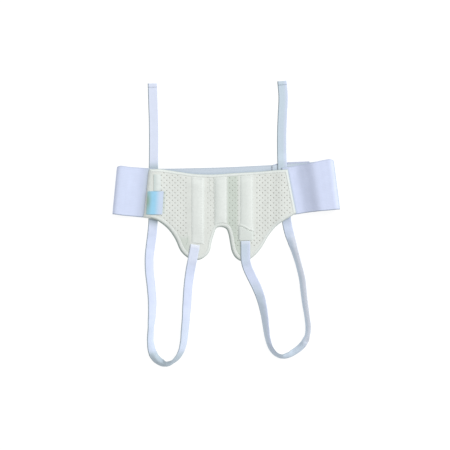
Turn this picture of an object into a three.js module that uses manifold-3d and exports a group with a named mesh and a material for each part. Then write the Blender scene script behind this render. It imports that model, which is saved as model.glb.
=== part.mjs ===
// Hernia belt, laid flat and fastened, front side up. A padded front panel with two lobes is bound
// all round, wide elastic side bands fold round to the back and fasten there on a tab, and two
// narrow leg straps are sewn to the lobes, loop below them and run up behind the panel.
// Millimetres. X points to the right of the laid belt, Y to its upper waist edge and Z up from the
// surface that it lies on. The origin is under the middle of the back band.
import * as THREE from 'three';
import { mergeVertices } from 'three/addons/utils/BufferGeometryUtils.js';
import Module from 'manifold-3d';

const wasm = await Module();
wasm.setup();

// Cloth and clearance
const GAP = 0.3;
const BAND_WIDTH = 100;
const BAND_THICK = 1.5;
const STRAP_WIDTH = 20;
const STRAP_THICK = 1.2;
const HEM_LENGTH = 8;
const STRIP_THICK = 1.2;
const LABEL_THICK = 1;
const BINDING_THICK = 1;
const BINDING_WIDTH = 6.5;

// Front panel
const PANEL_HALF_WIDTH = 155;
const PANEL_CENTRE_X = -6.2;
const PANEL_TOP_RISE = 46.5;
const LOBE_DROP = 146;
const FOAM_THICK = 4.2;
const FOAM_RIM_THICK = 1.6;
const FOAM_SLOPE_WIDTH = 20;
const RIDGE_HEIGHT = 3;
const RIDGE_MARGIN = 2;

// Side bands, measured from the origin to the fold, and the height of the fold. The tab is a share
// of the way from the bands' joint to the right fold.
const LEFT_REACH = 234;
const RIGHT_REACH = 237;
const LEFT_FOLD_HEIGHT = 14.75;
const RIGHT_FOLD_HEIGHT = 23.25;
const BAND_JOIN_X = 100;
const TAB_SHARE = 0.584;
const TAB_LENGTH = (RIGHT_REACH - BAND_JOIN_X) * TAB_SHARE;
const TAB_OVERHANG = 3;

// Leg straps, each measured from its sewn end on the lobe
const LEFT_ANCHOR = { x: -63.5, y: -114.3 };
const LEFT_LOOP = { width: -94, depth: 253.5, tail: 343.6 };
const RIGHT_ANCHOR = { x: 43.2, y: -106.5 };
const RIGHT_LOOP = { width: 134, depth: 244.3, tail: 340.8 };

// Heights of what lies on what, worked out from the cloth
const RIM_THICK = FOAM_RIM_THICK + 2 * (GAP + BINDING_THICK);
const BAND_STEP = BAND_THICK + GAP;
const STRAP_STEP = STRAP_THICK + GAP;
const FLOOR_MID = BAND_THICK / 2;
const PANEL_BED = BAND_STEP + RIM_THICK / 2;
const PANEL_OVER_LEFT_STRAP = PANEL_BED + STRAP_STEP;
const PANEL_LEFT_END = PANEL_OVER_LEFT_STRAP + BAND_STEP;
const PANEL_OVER_TAB = PANEL_BED + BAND_STEP;
const PANEL_OVER_RIGHT_STRAP = PANEL_OVER_TAB + STRAP_STEP;
const PANEL_RIGHT_END = PANEL_OVER_RIGHT_STRAP + BAND_STEP;

// Mesh fineness
const GRID_ROW_STEP = 8;
const OUTLINE_STEP = 8;
const BAND_STATIONS_PER_ROW = 3;
const STRAP_STATIONS_PER_ROW = 2;

const smooth = (t) => {
  const s = Math.min(Math.max(t, 0), 1);
  return s * s * (3 - 2 * s);
};
const mix = (a, b, t) => a + (b - a) * t;
const vector = (x, y, z = 0) => new THREE.Vector3(x, y, z);

// The value of a table of [place, value] rows at one place, eased from row to row.
function eased(rows, place) {
  if (place <= rows[0][0]) return rows[0][1];
  for (let i = 1; i < rows.length; i += 1) {
    const [start, from] = rows[i - 1];
    const [end, to] = rows[i];
    if (place <= end) return mix(from, to, smooth((place - start) / (end - start)));
  }
  return rows[rows.length - 1][1];
}

// Panel outline. Each row is one turn of the lower edge, from the crown of the notch outwards:
// how far out as a share of PANEL_HALF_WIDTH and how far down as a share of LOBE_DROP.
const LOWER_EDGE = [
  { turn: 'notch shoulder', left: [0.073, 0.540], right: [0.073, 0.540] },
  { turn: 'notch side, upper', left: [0.113, 0.636], right: [0.104, 0.620] },
  { turn: 'notch side, lower', left: [0.146, 0.758], right: [0.126, 0.745] },
  { turn: 'notch foot', left: [0.166, 0.862], right: [0.150, 0.865] },
  { turn: 'lobe, inner turn', left: [0.216, 0.942], right: [0.203, 0.962] },
  { turn: 'lobe tip', left: [0.313, 0.993], right: [0.303, 1.014] },
  { turn: 'lobe, outer turn', left: [0.430, 0.974], right: [0.425, 0.960] },
  { turn: 'lobe, outer side', left: [0.545, 0.873], right: [0.535, 0.833] },
  { turn: 'groin cut, middle', left: [0.630, 0.685], right: [0.640, 0.648] },
  { turn: 'groin cut, upper', left: [0.730, 0.536], right: [0.745, 0.512] },
  { turn: 'side foot', left: [0.882, 0.416], right: [0.862, 0.422] },
  { turn: 'side corner', left: [1.059, 0.370], right: [1.015, 0.325] },
];
const NOTCH_CROWN = 0.514;

// Upper edge from left to right: out as a share of PANEL_HALF_WIDTH, up as a share of PANEL_TOP_RISE.
const UPPER_EDGE = [
  { out: -0.991, up: 0.992 },
  { out: -0.850, up: 1.000 },
  { out: -0.600, up: 0.882 },
  { out: -0.400, up: 0.790 },
  { out: -0.139, up: 0.755 },
  { out: 0.180, up: 0.822 },
  { out: 0.501, up: 0.884 },
  { out: 0.740, up: 0.952 },
  { out: 0.899, up: 0.981 },
];

const panelX = (out) => PANEL_CENTRE_X + out * PANEL_HALF_WIDTH;
const spline = (points) => new THREE.CatmullRomCurve3(points, false, 'centripetal');

function sampled(points) {
  const curve = spline(points);
  return curve.getSpacedPoints(Math.round(curve.getLength() / OUTLINE_STEP));
}

// The whole outline as one closed ring of points, anticlockwise seen from above.
function panelOutline() {
  const lower = (side, sign) => LOWER_EDGE.map((row) => {
    const [out, down] = row[side];
    return vector(panelX(sign * out), -down * LOBE_DROP);
  });
  const crown = vector(PANEL_CENTRE_X, -NOTCH_CROWN * LOBE_DROP);
  const bottom = sampled([...lower('left', -1).reverse(), crown, ...lower('right', 1)]);
  const top = sampled(UPPER_EDGE.map((row) => vector(panelX(row.out), row.up * PANEL_TOP_RISE)));
  const rightSide = sampled([bottom[bottom.length - 1], top[top.length - 1]]);
  const leftSide = sampled([top[0], bottom[0]]);
  return [
    ...bottom.slice(0, -1),
    ...rightSide.slice(0, -1),
    ...top.reverse().slice(0, -1),
    ...leftSide.slice(0, -1),
  ];
}
const outline = panelOutline();

// The unit vector into the panel at each point of the outline, on the bisector at a corner.
const inward = outline.map((point, i) => {
  const before = outline[(i + outline.length - 1) % outline.length];
  const after = outline[(i + 1) % outline.length];
  const left = (a, b) => vector(a.y - b.y, b.x - a.x).normalize();
  const first = left(before, point);
  const second = left(point, after);
  const bisector = first.clone().add(second).normalize();
  return bisector.divideScalar(bisector.dot(first));
});
const insetOutline = (depth) => outline.map((p, i) => p.clone().addScaledVector(inward[i], depth));

// Distance from the outline, positive inside the panel.
function depthInside(x, y) {
  let nearest = Infinity;
  let inside = false;
  for (let i = 0, j = outline.length - 1; i < outline.length; j = i, i += 1) {
    const a = outline[j];
    const b = outline[i];
    const run = (b.x - a.x) ** 2 + (b.y - a.y) ** 2;
    const t = Math.min(Math.max(((x - a.x) * (b.x - a.x) + (y - a.y) * (b.y - a.y)) / run, 0), 1);
    nearest = Math.min(nearest, Math.hypot(x - mix(a.x, b.x, t), y - mix(a.y, b.y, t)));
    if ((b.y > y) !== (a.y > y) && x < mix(b.x, a.x, (y - b.y) / (a.y - b.y))) inside = !inside;
  }
  return inside ? nearest : -nearest;
}

// Sewn strips: their edges as shares of PANEL_HALF_WIDTH.
const STRIPS = {
  left: [-0.420, -0.245],
  centre: [-0.106, 0.063],
  right: [0.247, 0.424],
};

// How the panel lies across its width: the height of its middle layer at each place.
const PANEL_WAVE = [
  [-1.02, PANEL_LEFT_END],
  [-0.93, PANEL_LEFT_END],
  [-0.72, PANEL_BED],
  [0.52, PANEL_BED],
  [0.66, PANEL_OVER_TAB],
  [0.83, PANEL_RIGHT_END],
  [1.02, PANEL_RIGHT_END],
];

// Ridges under the strips: [out, share of RIDGE_HEIGHT].
const RIDGES = [
  [-0.55, 0.00],
  [-0.33, 1.00],
  [-0.22, 0.05],
  [-0.13, 0.05],
  [-0.042, 0.60],
  [0.072, 0.00],
  [0.33, 1.00],
  [0.46, 0.05],
  [0.60, 0.00],
];
const FALL_START = -BAND_WIDTH * 0.56;
const FALL_END = -LOBE_DROP * 0.85;

// Height of the middle layer of the panel. Past the back band the lobes come down to the surface.
function panelMiddle(x, y) {
  const out = (x - PANEL_CENTRE_X) / PANEL_HALF_WIDTH;
  const fall = smooth((y - FALL_START) / (FALL_END - FALL_START));
  const fromBinding = depthInside(x, y) - BINDING_WIDTH - RIDGE_MARGIN;
  const clearOfRim = smooth(fromBinding / (FOAM_SLOPE_WIDTH - 2 * RIDGE_MARGIN));
  const ridge = eased(RIDGES, out) * RIDGE_HEIGHT * clearOfRim * (1 - fall);
  return mix(eased(PANEL_WAVE, out), RIM_THICK / 2, fall) + ridge;
}

// Thickness of the foam: thin inside the binding, swelling to its full thickness further in.
function foamThickness(x, y) {
  const start = BINDING_WIDTH + GRID_ROW_STEP / 2;
  const swell = (depthInside(x, y) - start) / FOAM_SLOPE_WIDTH;
  return mix(FOAM_RIM_THICK, FOAM_THICK, Math.min(Math.max(swell, 0), 1));
}
const panelTop = (x, y) => panelMiddle(x, y) + foamThickness(x, y) / 2;
const overPanel = (x, y) => panelMiddle(x, y) + RIM_THICK / 2 + 2 * GAP;

// Geometry from points and triangles, turned so that its faces point out.
function solidGeometry(points, triangles) {
  let volume = 0;
  for (const [a, b, c] of triangles) {
    volume += points[a].dot(points[b].clone().cross(points[c]));
  }
  const index = volume < 0 ? triangles.flatMap(([a, b, c]) => [a, c, b]) : triangles.flat();
  const geometry = new THREE.BufferGeometry();
  const flat = points.flatMap((p) => [p.x, p.y, p.z]);
  geometry.setAttribute('position', new THREE.Float32BufferAttribute(flat, 3));
  geometry.setIndex(index);
  return geometry;
}

// A sheet with thickness, from a grid of points on its upper face and one on its lower face.
function sheet(upper, lower) {
  const rows = upper.length;
  const columns = upper[0].length;
  const points = [...upper.flat(), ...lower.flat()];
  const top = (i, j) => i * columns + j;
  const under = (i, j) => rows * columns + top(i, j);
  const triangles = [];
  const quad = (a, b, c, d) => triangles.push([a, b, c], [a, c, d]);
  for (let i = 0; i < rows - 1; i += 1) {
    for (let j = 0; j < columns - 1; j += 1) {
      quad(top(i, j), top(i, j + 1), top(i + 1, j + 1), top(i + 1, j));
      quad(under(i, j), under(i + 1, j), under(i + 1, j + 1), under(i, j + 1));
    }
    quad(top(i, 0), top(i + 1, 0), under(i + 1, 0), under(i, 0));
    quad(top(i, columns - 1), under(i, columns - 1), under(i + 1, columns - 1), top(i + 1, columns - 1));
  }
  for (let j = 0; j < columns - 1; j += 1) {
    quad(top(0, j), under(0, j), under(0, j + 1), top(0, j + 1));
    quad(top(rows - 1, j), top(rows - 1, j + 1), under(rows - 1, j + 1), under(rows - 1, j));
  }
  return solidGeometry(points, triangles);
}

// A ring of closed sections, joined round to the first again.
function closedSweep(sections) {
  const count = sections.length;
  const sides = sections[0].length;
  const triangles = [];
  for (let i = 0; i < count; i += 1) {
    for (let j = 0; j < sides; j += 1) {
      const [a, b] = [i * sides + j, i * sides + ((j + 1) % sides)];
      const [c, d] = [((i + 1) % count) * sides + ((j + 1) % sides), ((i + 1) % count) * sides + j];
      triangles.push([a, b, c], [a, c, d]);
    }
  }
  return solidGeometry(sections.flat(), triangles);
}

function toManifold(geometry) {
  const bare = geometry.clone();
  bare.deleteAttribute('normal');
  bare.deleteAttribute('uv');
  const merged = mergeVertices(bare, 1e-4);
  return new wasm.Manifold(new wasm.Mesh({
    numProp: 3,
    vertProperties: new Float32Array(merged.attributes.position.array),
    triVerts: new Uint32Array(merged.index.array),
  }));
}

function fromManifold(manifold) {
  const mesh = manifold.getMesh();
  const geometry = new THREE.BufferGeometry();
  geometry.setAttribute('position', new THREE.Float32BufferAttribute(mesh.vertProperties, 3));
  geometry.setIndex([...mesh.triVerts]);
  return geometry;
}

// The upright prism over an outline, tall enough to cut any layer of the belt.
function prism(points) {
  const shape = new THREE.Shape(points.map((p) => new THREE.Vector2(p.x, p.y)));
  const depth = 8 * PANEL_RIGHT_END;
  const geometry = new THREE.ExtrudeGeometry(shape, { depth, bevelEnabled: false });
  return toManifold(geometry.translate(0, 0, -depth / 2));
}

// One grid serves the panel and everything sewn flat on it, so their facets run alike. Its columns
// stand on the edges and the middle of each strip.
const GRID_COLUMNS = [
  -1.12, -1.06, -1.00, -0.94, -0.87, -0.80, -0.72, -0.64, -0.56, -0.49,
  ...[0, 0.25, 0.5, 0.75, 1].map((t) => mix(...STRIPS.left, t)),
  -0.20, -0.15,
  ...[0, 0.25, 0.5, 0.75, 1].map((t) => mix(...STRIPS.centre, t)),
  0.11, 0.155, 0.20,
  ...[0, 0.25, 0.5, 0.75, 1].map((t) => mix(...STRIPS.right, t)),
  0.49, 0.56, 0.63, 0.70, 0.77, 0.84, 0.91, 0.98, 1.06,
].map(panelX);
const GRID_ROWS = (() => {
  const start = -LOBE_DROP * 1.04;
  const end = PANEL_TOP_RISE * 1.06;
  const count = Math.round((end - start) / GRID_ROW_STEP);
  return Array.from({ length: count + 1 }, (unused, i) => mix(start, end, i / count));
})();

// The layer between two heights over the grid, cut to an outline.
function layer(lowerHeight, upperHeight, ...outlines) {
  const grid = (height) => GRID_ROWS.map((y) => GRID_COLUMNS.map((x) => vector(x, y, height(x, y))));
  const slab = toManifold(sheet(grid(upperHeight), grid(lowerHeight)));
  return fromManifold(outlines.reduce((solid, points) => solid.intersect(prism(points)), slab));
}

function frontPanel() {
  const bottom = (x, y) => panelMiddle(x, y) - foamThickness(x, y) / 2;
  return layer(bottom, panelTop, insetOutline(BINDING_THICK + GAP));
}

// The binding's section: [depth inside the outline, height over the middle layer].
function edgeBinding() {
  const outer = RIM_THICK / 2;
  const inner = outer - BINDING_THICK;
  const edge = outer / 2;
  const section = [
    [BINDING_WIDTH, inner], [BINDING_WIDTH, outer], [2 * BINDING_THICK, outer], [0, edge], [0, -edge],
    [2 * BINDING_THICK, -outer], [BINDING_WIDTH, -outer], [BINDING_WIDTH, -inner],
    [BINDING_THICK, -inner], [BINDING_THICK, inner],
  ];
  return closedSweep(outline.map((point, i) => section.map(([depth, height]) => {
    const place = point.clone().addScaledVector(inward[i], depth);
    return vector(place.x, place.y, panelMiddle(place.x, place.y) + height);
  })));
}

// A strip between two of the grid's columns, thickest along its middle.
function strip(edges, lowerEnd) {
  const [from, to] = edges.map(panelX);
  const crown = (x) => mix(0.7, 1, Math.sin(Math.PI * Math.min(Math.max((x - from) / (to - from), 0), 1)));
  const upper = (x, y) => panelTop(x, y) + GAP + STRIP_THICK * crown(x);
  const above = PANEL_TOP_RISE;
  const ends = [vector(from, above), ...lowerEnd, vector(to, above)];
  const clearOfBinding = insetOutline(BINDING_WIDTH + GAP);
  return layer((x, y) => panelTop(x, y) + GAP, upper, ends, clearOfBinding);
}

// Points of a lower end: [share of the strip's width from its left edge, share of LOBE_DROP].
function lowerEnd(edges, rows) {
  const [from, to] = edges.map(panelX);
  return rows.map(([across, down]) => vector(mix(from, to, across), -down * LOBE_DROP));
}
const LEFT_STRIP_END = [[0, 0.750], [1, 0.778]];
const CENTRE_STRIP_END = [[0, 0.600], [1, 0.600]];
const RIGHT_STRIP_END = [[0, 0.470], [-0.14, 0.506], [0.31, 0.532], [0.72, 0.576], [1.12, 0.591], [1, 0.480]];
const PATCH_FOOT = [[1.05, 0.700], [0.90, 0.724], [-0.02, 0.724], [-0.12, 0.700]];

function anchorPatch() {
  const seam = RIGHT_STRIP_END.slice(1, 5);
  const seamGap = GAP / LOBE_DROP * 2;
  const head = seam.map(([across, down]) => [Math.min(across, 1.05), down + seamGap]);
  const points = lowerEnd(STRIPS.right, [...head, ...PATCH_FOOT]);
  const upper = (x, y) => panelTop(x, y) + GAP + STRIP_THICK * 0.8;
  return layer((x, y) => panelTop(x, y) + GAP, upper, points, insetOutline(BINDING_WIDTH + GAP));
}

// A band follows rows of: out (share of its reach, at mid-height), on (the level that it is
// measured from), rise (share of its fold's height), top and foot (shares of BAND_WIDTH above and
// below the belt's middle line) and lean (share of BAND_WIDTH by which its top lies further right).
function band(rows, reach, foldHeight, levels) {
  const mid = (row) => levels[row.on] + row.rise * foldHeight;
  const edge = (row, along, side) => vector(
    row.out * reach + side * row.lean * BAND_WIDTH / 2, along * BAND_WIDTH, mid(row));
  const topEdge = spline(rows.map((row) => edge(row, row.top, 1)));
  const footEdge = spline(rows.map((row) => edge(row, -row.foot, -1)));
  const count = (rows.length - 1) * BAND_STATIONS_PER_ROW;
  const across = [0, 0.5, 1];
  const upper = [];
  const lower = [];
  for (let i = 0; i <= count; i += 1) {
    const t = i / count;
    const along = topEdge.getTangent(t).add(footEdge.getTangent(t));
    const normal = vector(-along.z, 0, along.x).normalize().multiplyScalar(BAND_THICK / 2);
    const middle = across.map((s) => topEdge.getPoint(t).lerp(footEdge.getPoint(t), s));
    middle.forEach((p) => p.setZ(Math.max(p.z, FLOOR_MID)));
    upper.push(middle.map((p) => p.clone().add(normal)));
    lower.push(middle.map((p) => p.clone().sub(normal)));
  }
  return sheet(upper, lower);
}

const ON_BACK = FLOOR_MID + BAND_STEP;
const LEFT_LEVELS = { floor: FLOOR_MID, back: ON_BACK, panel: ON_BACK + STRAP_STEP };
const LEFT_BAND = [
  { out: -0.654, on: 'panel', rise: 0.000, top: 0.484, foot: 0.545, lean: 0.106 },
  { out: -0.705, on: 'panel', rise: 0.000, top: 0.484, foot: 0.545, lean: 0.106 },
  { out: -0.744, on: 'back', rise: 0.055, top: 0.488, foot: 0.540, lean: 0.105 },
  { out: -0.786, on: 'back', rise: 0.030, top: 0.495, foot: 0.530, lean: 0.105 },
  { out: -0.840, on: 'floor', rise: 0.340, top: 0.503, foot: 0.518, lean: 0.104 },
  { out: -0.898, on: 'floor', rise: 0.690, top: 0.512, foot: 0.506, lean: 0.103 },
  { out: -0.942, on: 'floor', rise: 0.930, top: 0.526, foot: 0.492, lean: 0.102 },
  { out: -0.972, on: 'floor', rise: 1.000, top: 0.528, foot: 0.482, lean: 0.100 },
  { out: -0.992, on: 'floor', rise: 0.845, top: 0.512, foot: 0.476, lean: 0.098 },
  { out: -0.997, on: 'floor', rise: 0.550, top: 0.495, foot: 0.474, lean: 0.096 },
  { out: -0.987, on: 'floor', rise: 0.250, top: 0.490, foot: 0.474, lean: 0.094 },
  { out: -0.962, on: 'floor', rise: 0.070, top: 0.488, foot: 0.476, lean: 0.092 },
  { out: -0.925, on: 'floor', rise: 0.000, top: 0.487, foot: 0.480, lean: 0.088 },
  { out: -0.880, on: 'floor', rise: 0.000, top: 0.485, foot: 0.488, lean: 0.082 },
  { out: -0.600, on: 'floor', rise: 0.000, top: 0.475, foot: 0.520, lean: 0.040 },
  { out: -0.290, on: 'floor', rise: 0.000, top: 0.486, foot: 0.510, lean: 0.010 },
  { out: 0.010, on: 'floor', rise: 0.000, top: 0.505, foot: 0.495, lean: 0.000 },
  { out: 0.300, on: 'floor', rise: 0.000, top: 0.537, foot: 0.463, lean: 0.000 },
  { out: (BAND_JOIN_X - GAP) / LEFT_REACH, on: 'floor', rise: 0, top: 0.552, foot: 0.448, lean: 0 },
];
const RIGHT_LEVELS = {
  floor: FLOOR_MID,
  tab: ON_BACK,
  back: ON_BACK + BAND_STEP,
  panel: ON_BACK + BAND_STEP + STRAP_STEP,
};
const TAB_END_X = BAND_JOIN_X + TAB_LENGTH;
const RIGHT_BAND = [
  { out: 0.545, on: 'panel', rise: 0.000, top: 0.490, foot: 0.488, lean: -0.180 },
  { out: 0.593, on: 'panel', rise: 0.000, top: 0.500, foot: 0.480, lean: -0.180 },
  { out: 0.635, on: 'back', rise: 0.050, top: 0.518, foot: 0.465, lean: -0.180 },
  { out: 0.680, on: 'back', rise: 0.100, top: 0.540, foot: 0.448, lean: -0.178 },
  { out: 0.740, on: 'floor', rise: 0.500, top: 0.564, foot: 0.430, lean: -0.175 },
  { out: 0.810, on: 'floor', rise: 0.840, top: 0.592, foot: 0.413, lean: -0.168 },
  { out: 0.873, on: 'floor', rise: 0.950, top: 0.628, foot: 0.401, lean: -0.158 },
  { out: 0.922, on: 'floor', rise: 0.990, top: 0.652, foot: 0.391, lean: -0.148 },
  { out: 0.957, on: 'floor', rise: 1.000, top: 0.664, foot: 0.383, lean: -0.140 },
  { out: 0.984, on: 'floor', rise: 0.860, top: 0.652, foot: 0.378, lean: -0.136 },
  { out: 0.997, on: 'floor', rise: 0.600, top: 0.632, foot: 0.376, lean: -0.134 },
  { out: 0.994, on: 'floor', rise: 0.330, top: 0.628, foot: 0.376, lean: -0.132 },
  { out: 0.975, on: 'floor', rise: 0.120, top: 0.634, foot: 0.378, lean: -0.130 },
  { out: 0.940, on: 'floor', rise: 0.020, top: 0.648, foot: 0.382, lean: -0.120 },
  { out: 0.895, on: 'floor', rise: 0.000, top: 0.652, foot: 0.388, lean: -0.100 },
  { out: 0.825, on: 'floor', rise: 0.000, top: 0.625, foot: 0.398, lean: -0.060 },
  { out: (TAB_END_X + 2 * BAND_THICK) / RIGHT_REACH, on: 'tab', rise: 0, top: 0.612, foot: 0.402, lean: -0.03 },
  { out: (TAB_END_X - 2 * BAND_THICK) / RIGHT_REACH, on: 'tab', rise: 0, top: 0.604, foot: 0.404, lean: -0.02 },
  { out: 0.560, on: 'tab', rise: 0.000, top: 0.575, foot: 0.425, lean: 0.000 },
  { out: BAND_JOIN_X / RIGHT_REACH, on: 'tab', rise: 0.000, top: 0.552, foot: 0.445, lean: 0.000 },
];

// The tab butts against the end of the left band and stands a little above the band on it.
const TAB_ROWS = [
  { along: 0.00, top: 0.552, foot: 0.448 },
  { along: 0.14, top: 0.578 + TAB_OVERHANG / BAND_WIDTH * 0.2, foot: 0.448 },
  { along: 0.45, top: 0.588 + TAB_OVERHANG / BAND_WIDTH, foot: 0.436 },
  { along: 1.00, top: 0.602 + TAB_OVERHANG / BAND_WIDTH, foot: 0.424 },
];
function hookTab() {
  const grid = (z) => TAB_ROWS.map((row) => [row.top, 0, -row.foot].map((share) => vector(
    BAND_JOIN_X + row.along * TAB_LENGTH, share * BAND_WIDTH, z)));
  return sheet(grid(BAND_THICK), grid(0));
}

// A leg strap follows rows of: across (share of its loop's width), down (share of its loop's
// depth), tail (share of its tail's length above the sewn end), inner and outer (degrees by which
// each half of its width rises towards the loop's inside) and on (what its lowest edge lies on).
// Share is how much of that height is left. Where both halves fall, the strap is creased.
const STRAP_SEATS = {
  floor: () => 0,
  lobe: overPanel,
  back: () => BAND_STEP,
  tab: () => 2 * BAND_STEP,
};
const LEFT_STRAP = [
  { across: 0.000, down: 0.000, tail: 0, inner: 0, outer: 0, on: 'lobe', share: 1 },
  { across: 0.030, down: 0.066, tail: 0, inner: 0, outer: 0, on: 'lobe', share: 1 },
  { across: 0.062, down: 0.128, tail: 0, inner: 0, outer: 0, on: 'lobe', share: 1 },
  { across: 0.095, down: 0.185, tail: 0, inner: 6, outer: 6, on: 'lobe', share: 0.45 },
  { across: 0.127, down: 0.256, tail: 0, inner: 14, outer: 14, on: 'floor', share: 1 },
  { across: 0.161, down: 0.353, tail: 0, inner: 21, outer: 21, on: 'floor', share: 1 },
  { across: 0.188, down: 0.500, tail: 0, inner: 22, outer: 22, on: 'floor', share: 1 },
  { across: 0.210, down: 0.618, tail: 0, inner: 33, outer: 33, on: 'floor', share: 1 },
  { across: 0.235, down: 0.718, tail: 0, inner: 36, outer: 36, on: 'floor', share: 1 },
  { across: 0.262, down: 0.815, tail: 0, inner: 42, outer: 42, on: 'floor', share: 1 },
  { across: 0.312, down: 0.885, tail: 0, inner: 50, outer: 50, on: 'floor', share: 1 },
  { across: 0.395, down: 0.940, tail: 0, inner: 57, outer: 57, on: 'floor', share: 1 },
  { across: 0.500, down: 0.975, tail: 0, inner: 64, outer: 64, on: 'floor', share: 1 },
  { across: 0.640, down: 0.996, tail: 0, inner: 30, outer: 72, on: 'floor', share: 1 },
  { across: 0.785, down: 0.984, tail: 0, inner: -35, outer: 48, on: 'floor', share: 1 },
  { across: 0.905, down: 0.947, tail: 0, inner: -42, outer: 25, on: 'floor', share: 1 },
  { across: 0.977, down: 0.888, tail: 0, inner: -40, outer: -35, on: 'floor', share: 1 },
  { across: 1.012, down: 0.805, tail: 0, inner: -50, outer: -50, on: 'floor', share: 1 },
  { across: 1.002, down: 0.700, tail: 0, inner: -53, outer: -53, on: 'floor', share: 1 },
  { across: 0.980, down: 0.605, tail: 0, inner: -40, outer: -40, on: 'floor', share: 1 },
  { across: 0.970, down: 0.480, tail: 0, inner: -29, outer: -29, on: 'floor', share: 1 },
  { across: 0.995, down: 0.353, tail: 0, inner: -27, outer: -27, on: 'floor', share: 1 },
  { across: 1.035, down: 0.215, tail: 0, inner: -26, outer: -26, on: 'floor', share: 1 },
  { across: 1.038, down: 0.101, tail: 0, inner: -24, outer: -24, on: 'floor', share: 1 },
  { across: 1.014, down: 0.017, tail: 0, inner: -16, outer: -16, on: 'floor', share: 1 },
  { across: 0.980, down: 0, tail: 0.060, inner: -6, outer: -6, on: 'floor', share: 1 },
  { across: 0.960, down: 0, tail: 0.120, inner: 0, outer: 0, on: 'floor', share: 1 },
  { across: 0.948, down: 0, tail: 0.180, inner: 0, outer: 0, on: 'back', share: 1 },
  { across: 0.941, down: 0, tail: 0.240, inner: 0, outer: 0, on: 'back', share: 1 },
  { across: 0.941, down: 0, tail: 0.475, inner: 0, outer: 0, on: 'back', share: 1 },
  { across: 0.941, down: 0, tail: 0.530, inner: 0, outer: 0, on: 'floor', share: 1 },
  { across: 0.939, down: 0, tail: 0.650, inner: 0, outer: 0, on: 'floor', share: 1 },
  { across: 0.943, down: 0, tail: 0.770, inner: 0, outer: 0, on: 'floor', share: 1 },
  { across: 0.957, down: 0, tail: 0.880, inner: 0, outer: 0, on: 'floor', share: 1 },
  { across: 0.968, down: 0, tail: 1.000, inner: 0, outer: 0, on: 'floor', share: 1 },
];
const RIGHT_STRAP = [
  { across: 0.000, down: 0.000, tail: 0, inner: 0, outer: 0, on: 'lobe', share: 1 },
  { across: 0.002, down: 0.090, tail: 0, inner: 0, outer: 0, on: 'lobe', share: 1 },
  { across: 0.006, down: 0.175, tail: 0, inner: 0, outer: 0, on: 'lobe', share: 1 },
  { across: 0.033, down: 0.231, tail: 0, inner: 0, outer: 0, on: 'lobe', share: 0.45 },
  { across: 0.088, down: 0.300, tail: 0, inner: 0, outer: 0, on: 'floor', share: 1 },
  { across: 0.176, down: 0.397, tail: 0, inner: 5, outer: 5, on: 'floor', share: 1 },
  { across: 0.238, down: 0.484, tail: 0, inner: 20, outer: 20, on: 'floor', share: 1 },
  { across: 0.279, down: 0.571, tail: 0, inner: 33, outer: 33, on: 'floor', share: 1 },
  { across: 0.308, down: 0.658, tail: 0, inner: 43, outer: 43, on: 'floor', share: 1 },
  { across: 0.330, down: 0.750, tail: 0, inner: 50, outer: 50, on: 'floor', share: 1 },
  { across: 0.355, down: 0.840, tail: 0, inner: 57, outer: 57, on: 'floor', share: 1 },
  { across: 0.405, down: 0.925, tail: 0, inner: 60, outer: 60, on: 'floor', share: 1 },
  { across: 0.482, down: 0.978, tail: 0, inner: 61, outer: 61, on: 'floor', share: 1 },
  { across: 0.576, down: 0.999, tail: 0, inner: 50, outer: 68, on: 'floor', share: 1 },
  { across: 0.679, down: 0.988, tail: 0, inner: 5, outer: 78, on: 'floor', share: 1 },
  { across: 0.785, down: 0.962, tail: 0, inner: -48, outer: 60, on: 'floor', share: 1 },
  { across: 0.880, down: 0.922, tail: 0, inner: -55, outer: 50, on: 'floor', share: 1 },
  { across: 0.946, down: 0.876, tail: 0, inner: -76, outer: 8, on: 'floor', share: 1 },
  { across: 0.983, down: 0.825, tail: 0, inner: -66, outer: -62, on: 'floor', share: 1 },
  { across: 0.999, down: 0.748, tail: 0, inner: -59, outer: -59, on: 'floor', share: 1 },
  { across: 0.980, down: 0.655, tail: 0, inner: -60, outer: -60, on: 'floor', share: 1 },
  { across: 0.945, down: 0.527, tail: 0, inner: -55, outer: -55, on: 'floor', share: 1 },
  { across: 0.926, down: 0.440, tail: 0, inner: -53, outer: -53, on: 'floor', share: 1 },
  { across: 0.903, down: 0.330, tail: 0, inner: -51, outer: -51, on: 'floor', share: 1 },
  { across: 0.846, down: 0.201, tail: 0, inner: -53, outer: -53, on: 'floor', share: 1 },
  { across: 0.790, down: 0.095, tail: 0, inner: -46, outer: -46, on: 'floor', share: 1 },
  { across: 0.738, down: 0.004, tail: 0, inner: -27, outer: -27, on: 'floor', share: 1 },
  { across: 0.701, down: 0, tail: 0.044, inner: -9, outer: -9, on: 'floor', share: 1 },
  { across: 0.668, down: 0, tail: 0.098, inner: 0, outer: 0, on: 'floor', share: 1 },
  { across: 0.645, down: 0, tail: 0.168, inner: 0, outer: 0, on: 'tab', share: 1 },
  { across: 0.632, down: 0, tail: 0.215, inner: 0, outer: 0, on: 'tab', share: 1 },
  { across: 0.592, down: 0, tail: 0.380, inner: 0, outer: 0, on: 'tab', share: 1 },
  { across: 0.583, down: 0, tail: 0.490, inner: 0, outer: 0, on: 'tab', share: 1 },
  { across: 0.580, down: 0, tail: 0.560, inner: 0, outer: 0, on: 'floor', share: 1 },
  { across: 0.580, down: 0, tail: 0.680, inner: 0, outer: 0, on: 'floor', share: 1 },
  { across: 0.592, down: 0, tail: 0.800, inner: 0, outer: 0, on: 'floor', share: 1 },
  { across: 0.602, down: 0, tail: 0.900, inner: 0, outer: 0, on: 'floor', share: 1 },
  { across: 0.583, down: 0, tail: 1.000, inner: 0, outer: 0, on: 'floor', share: 1 },
];

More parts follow.
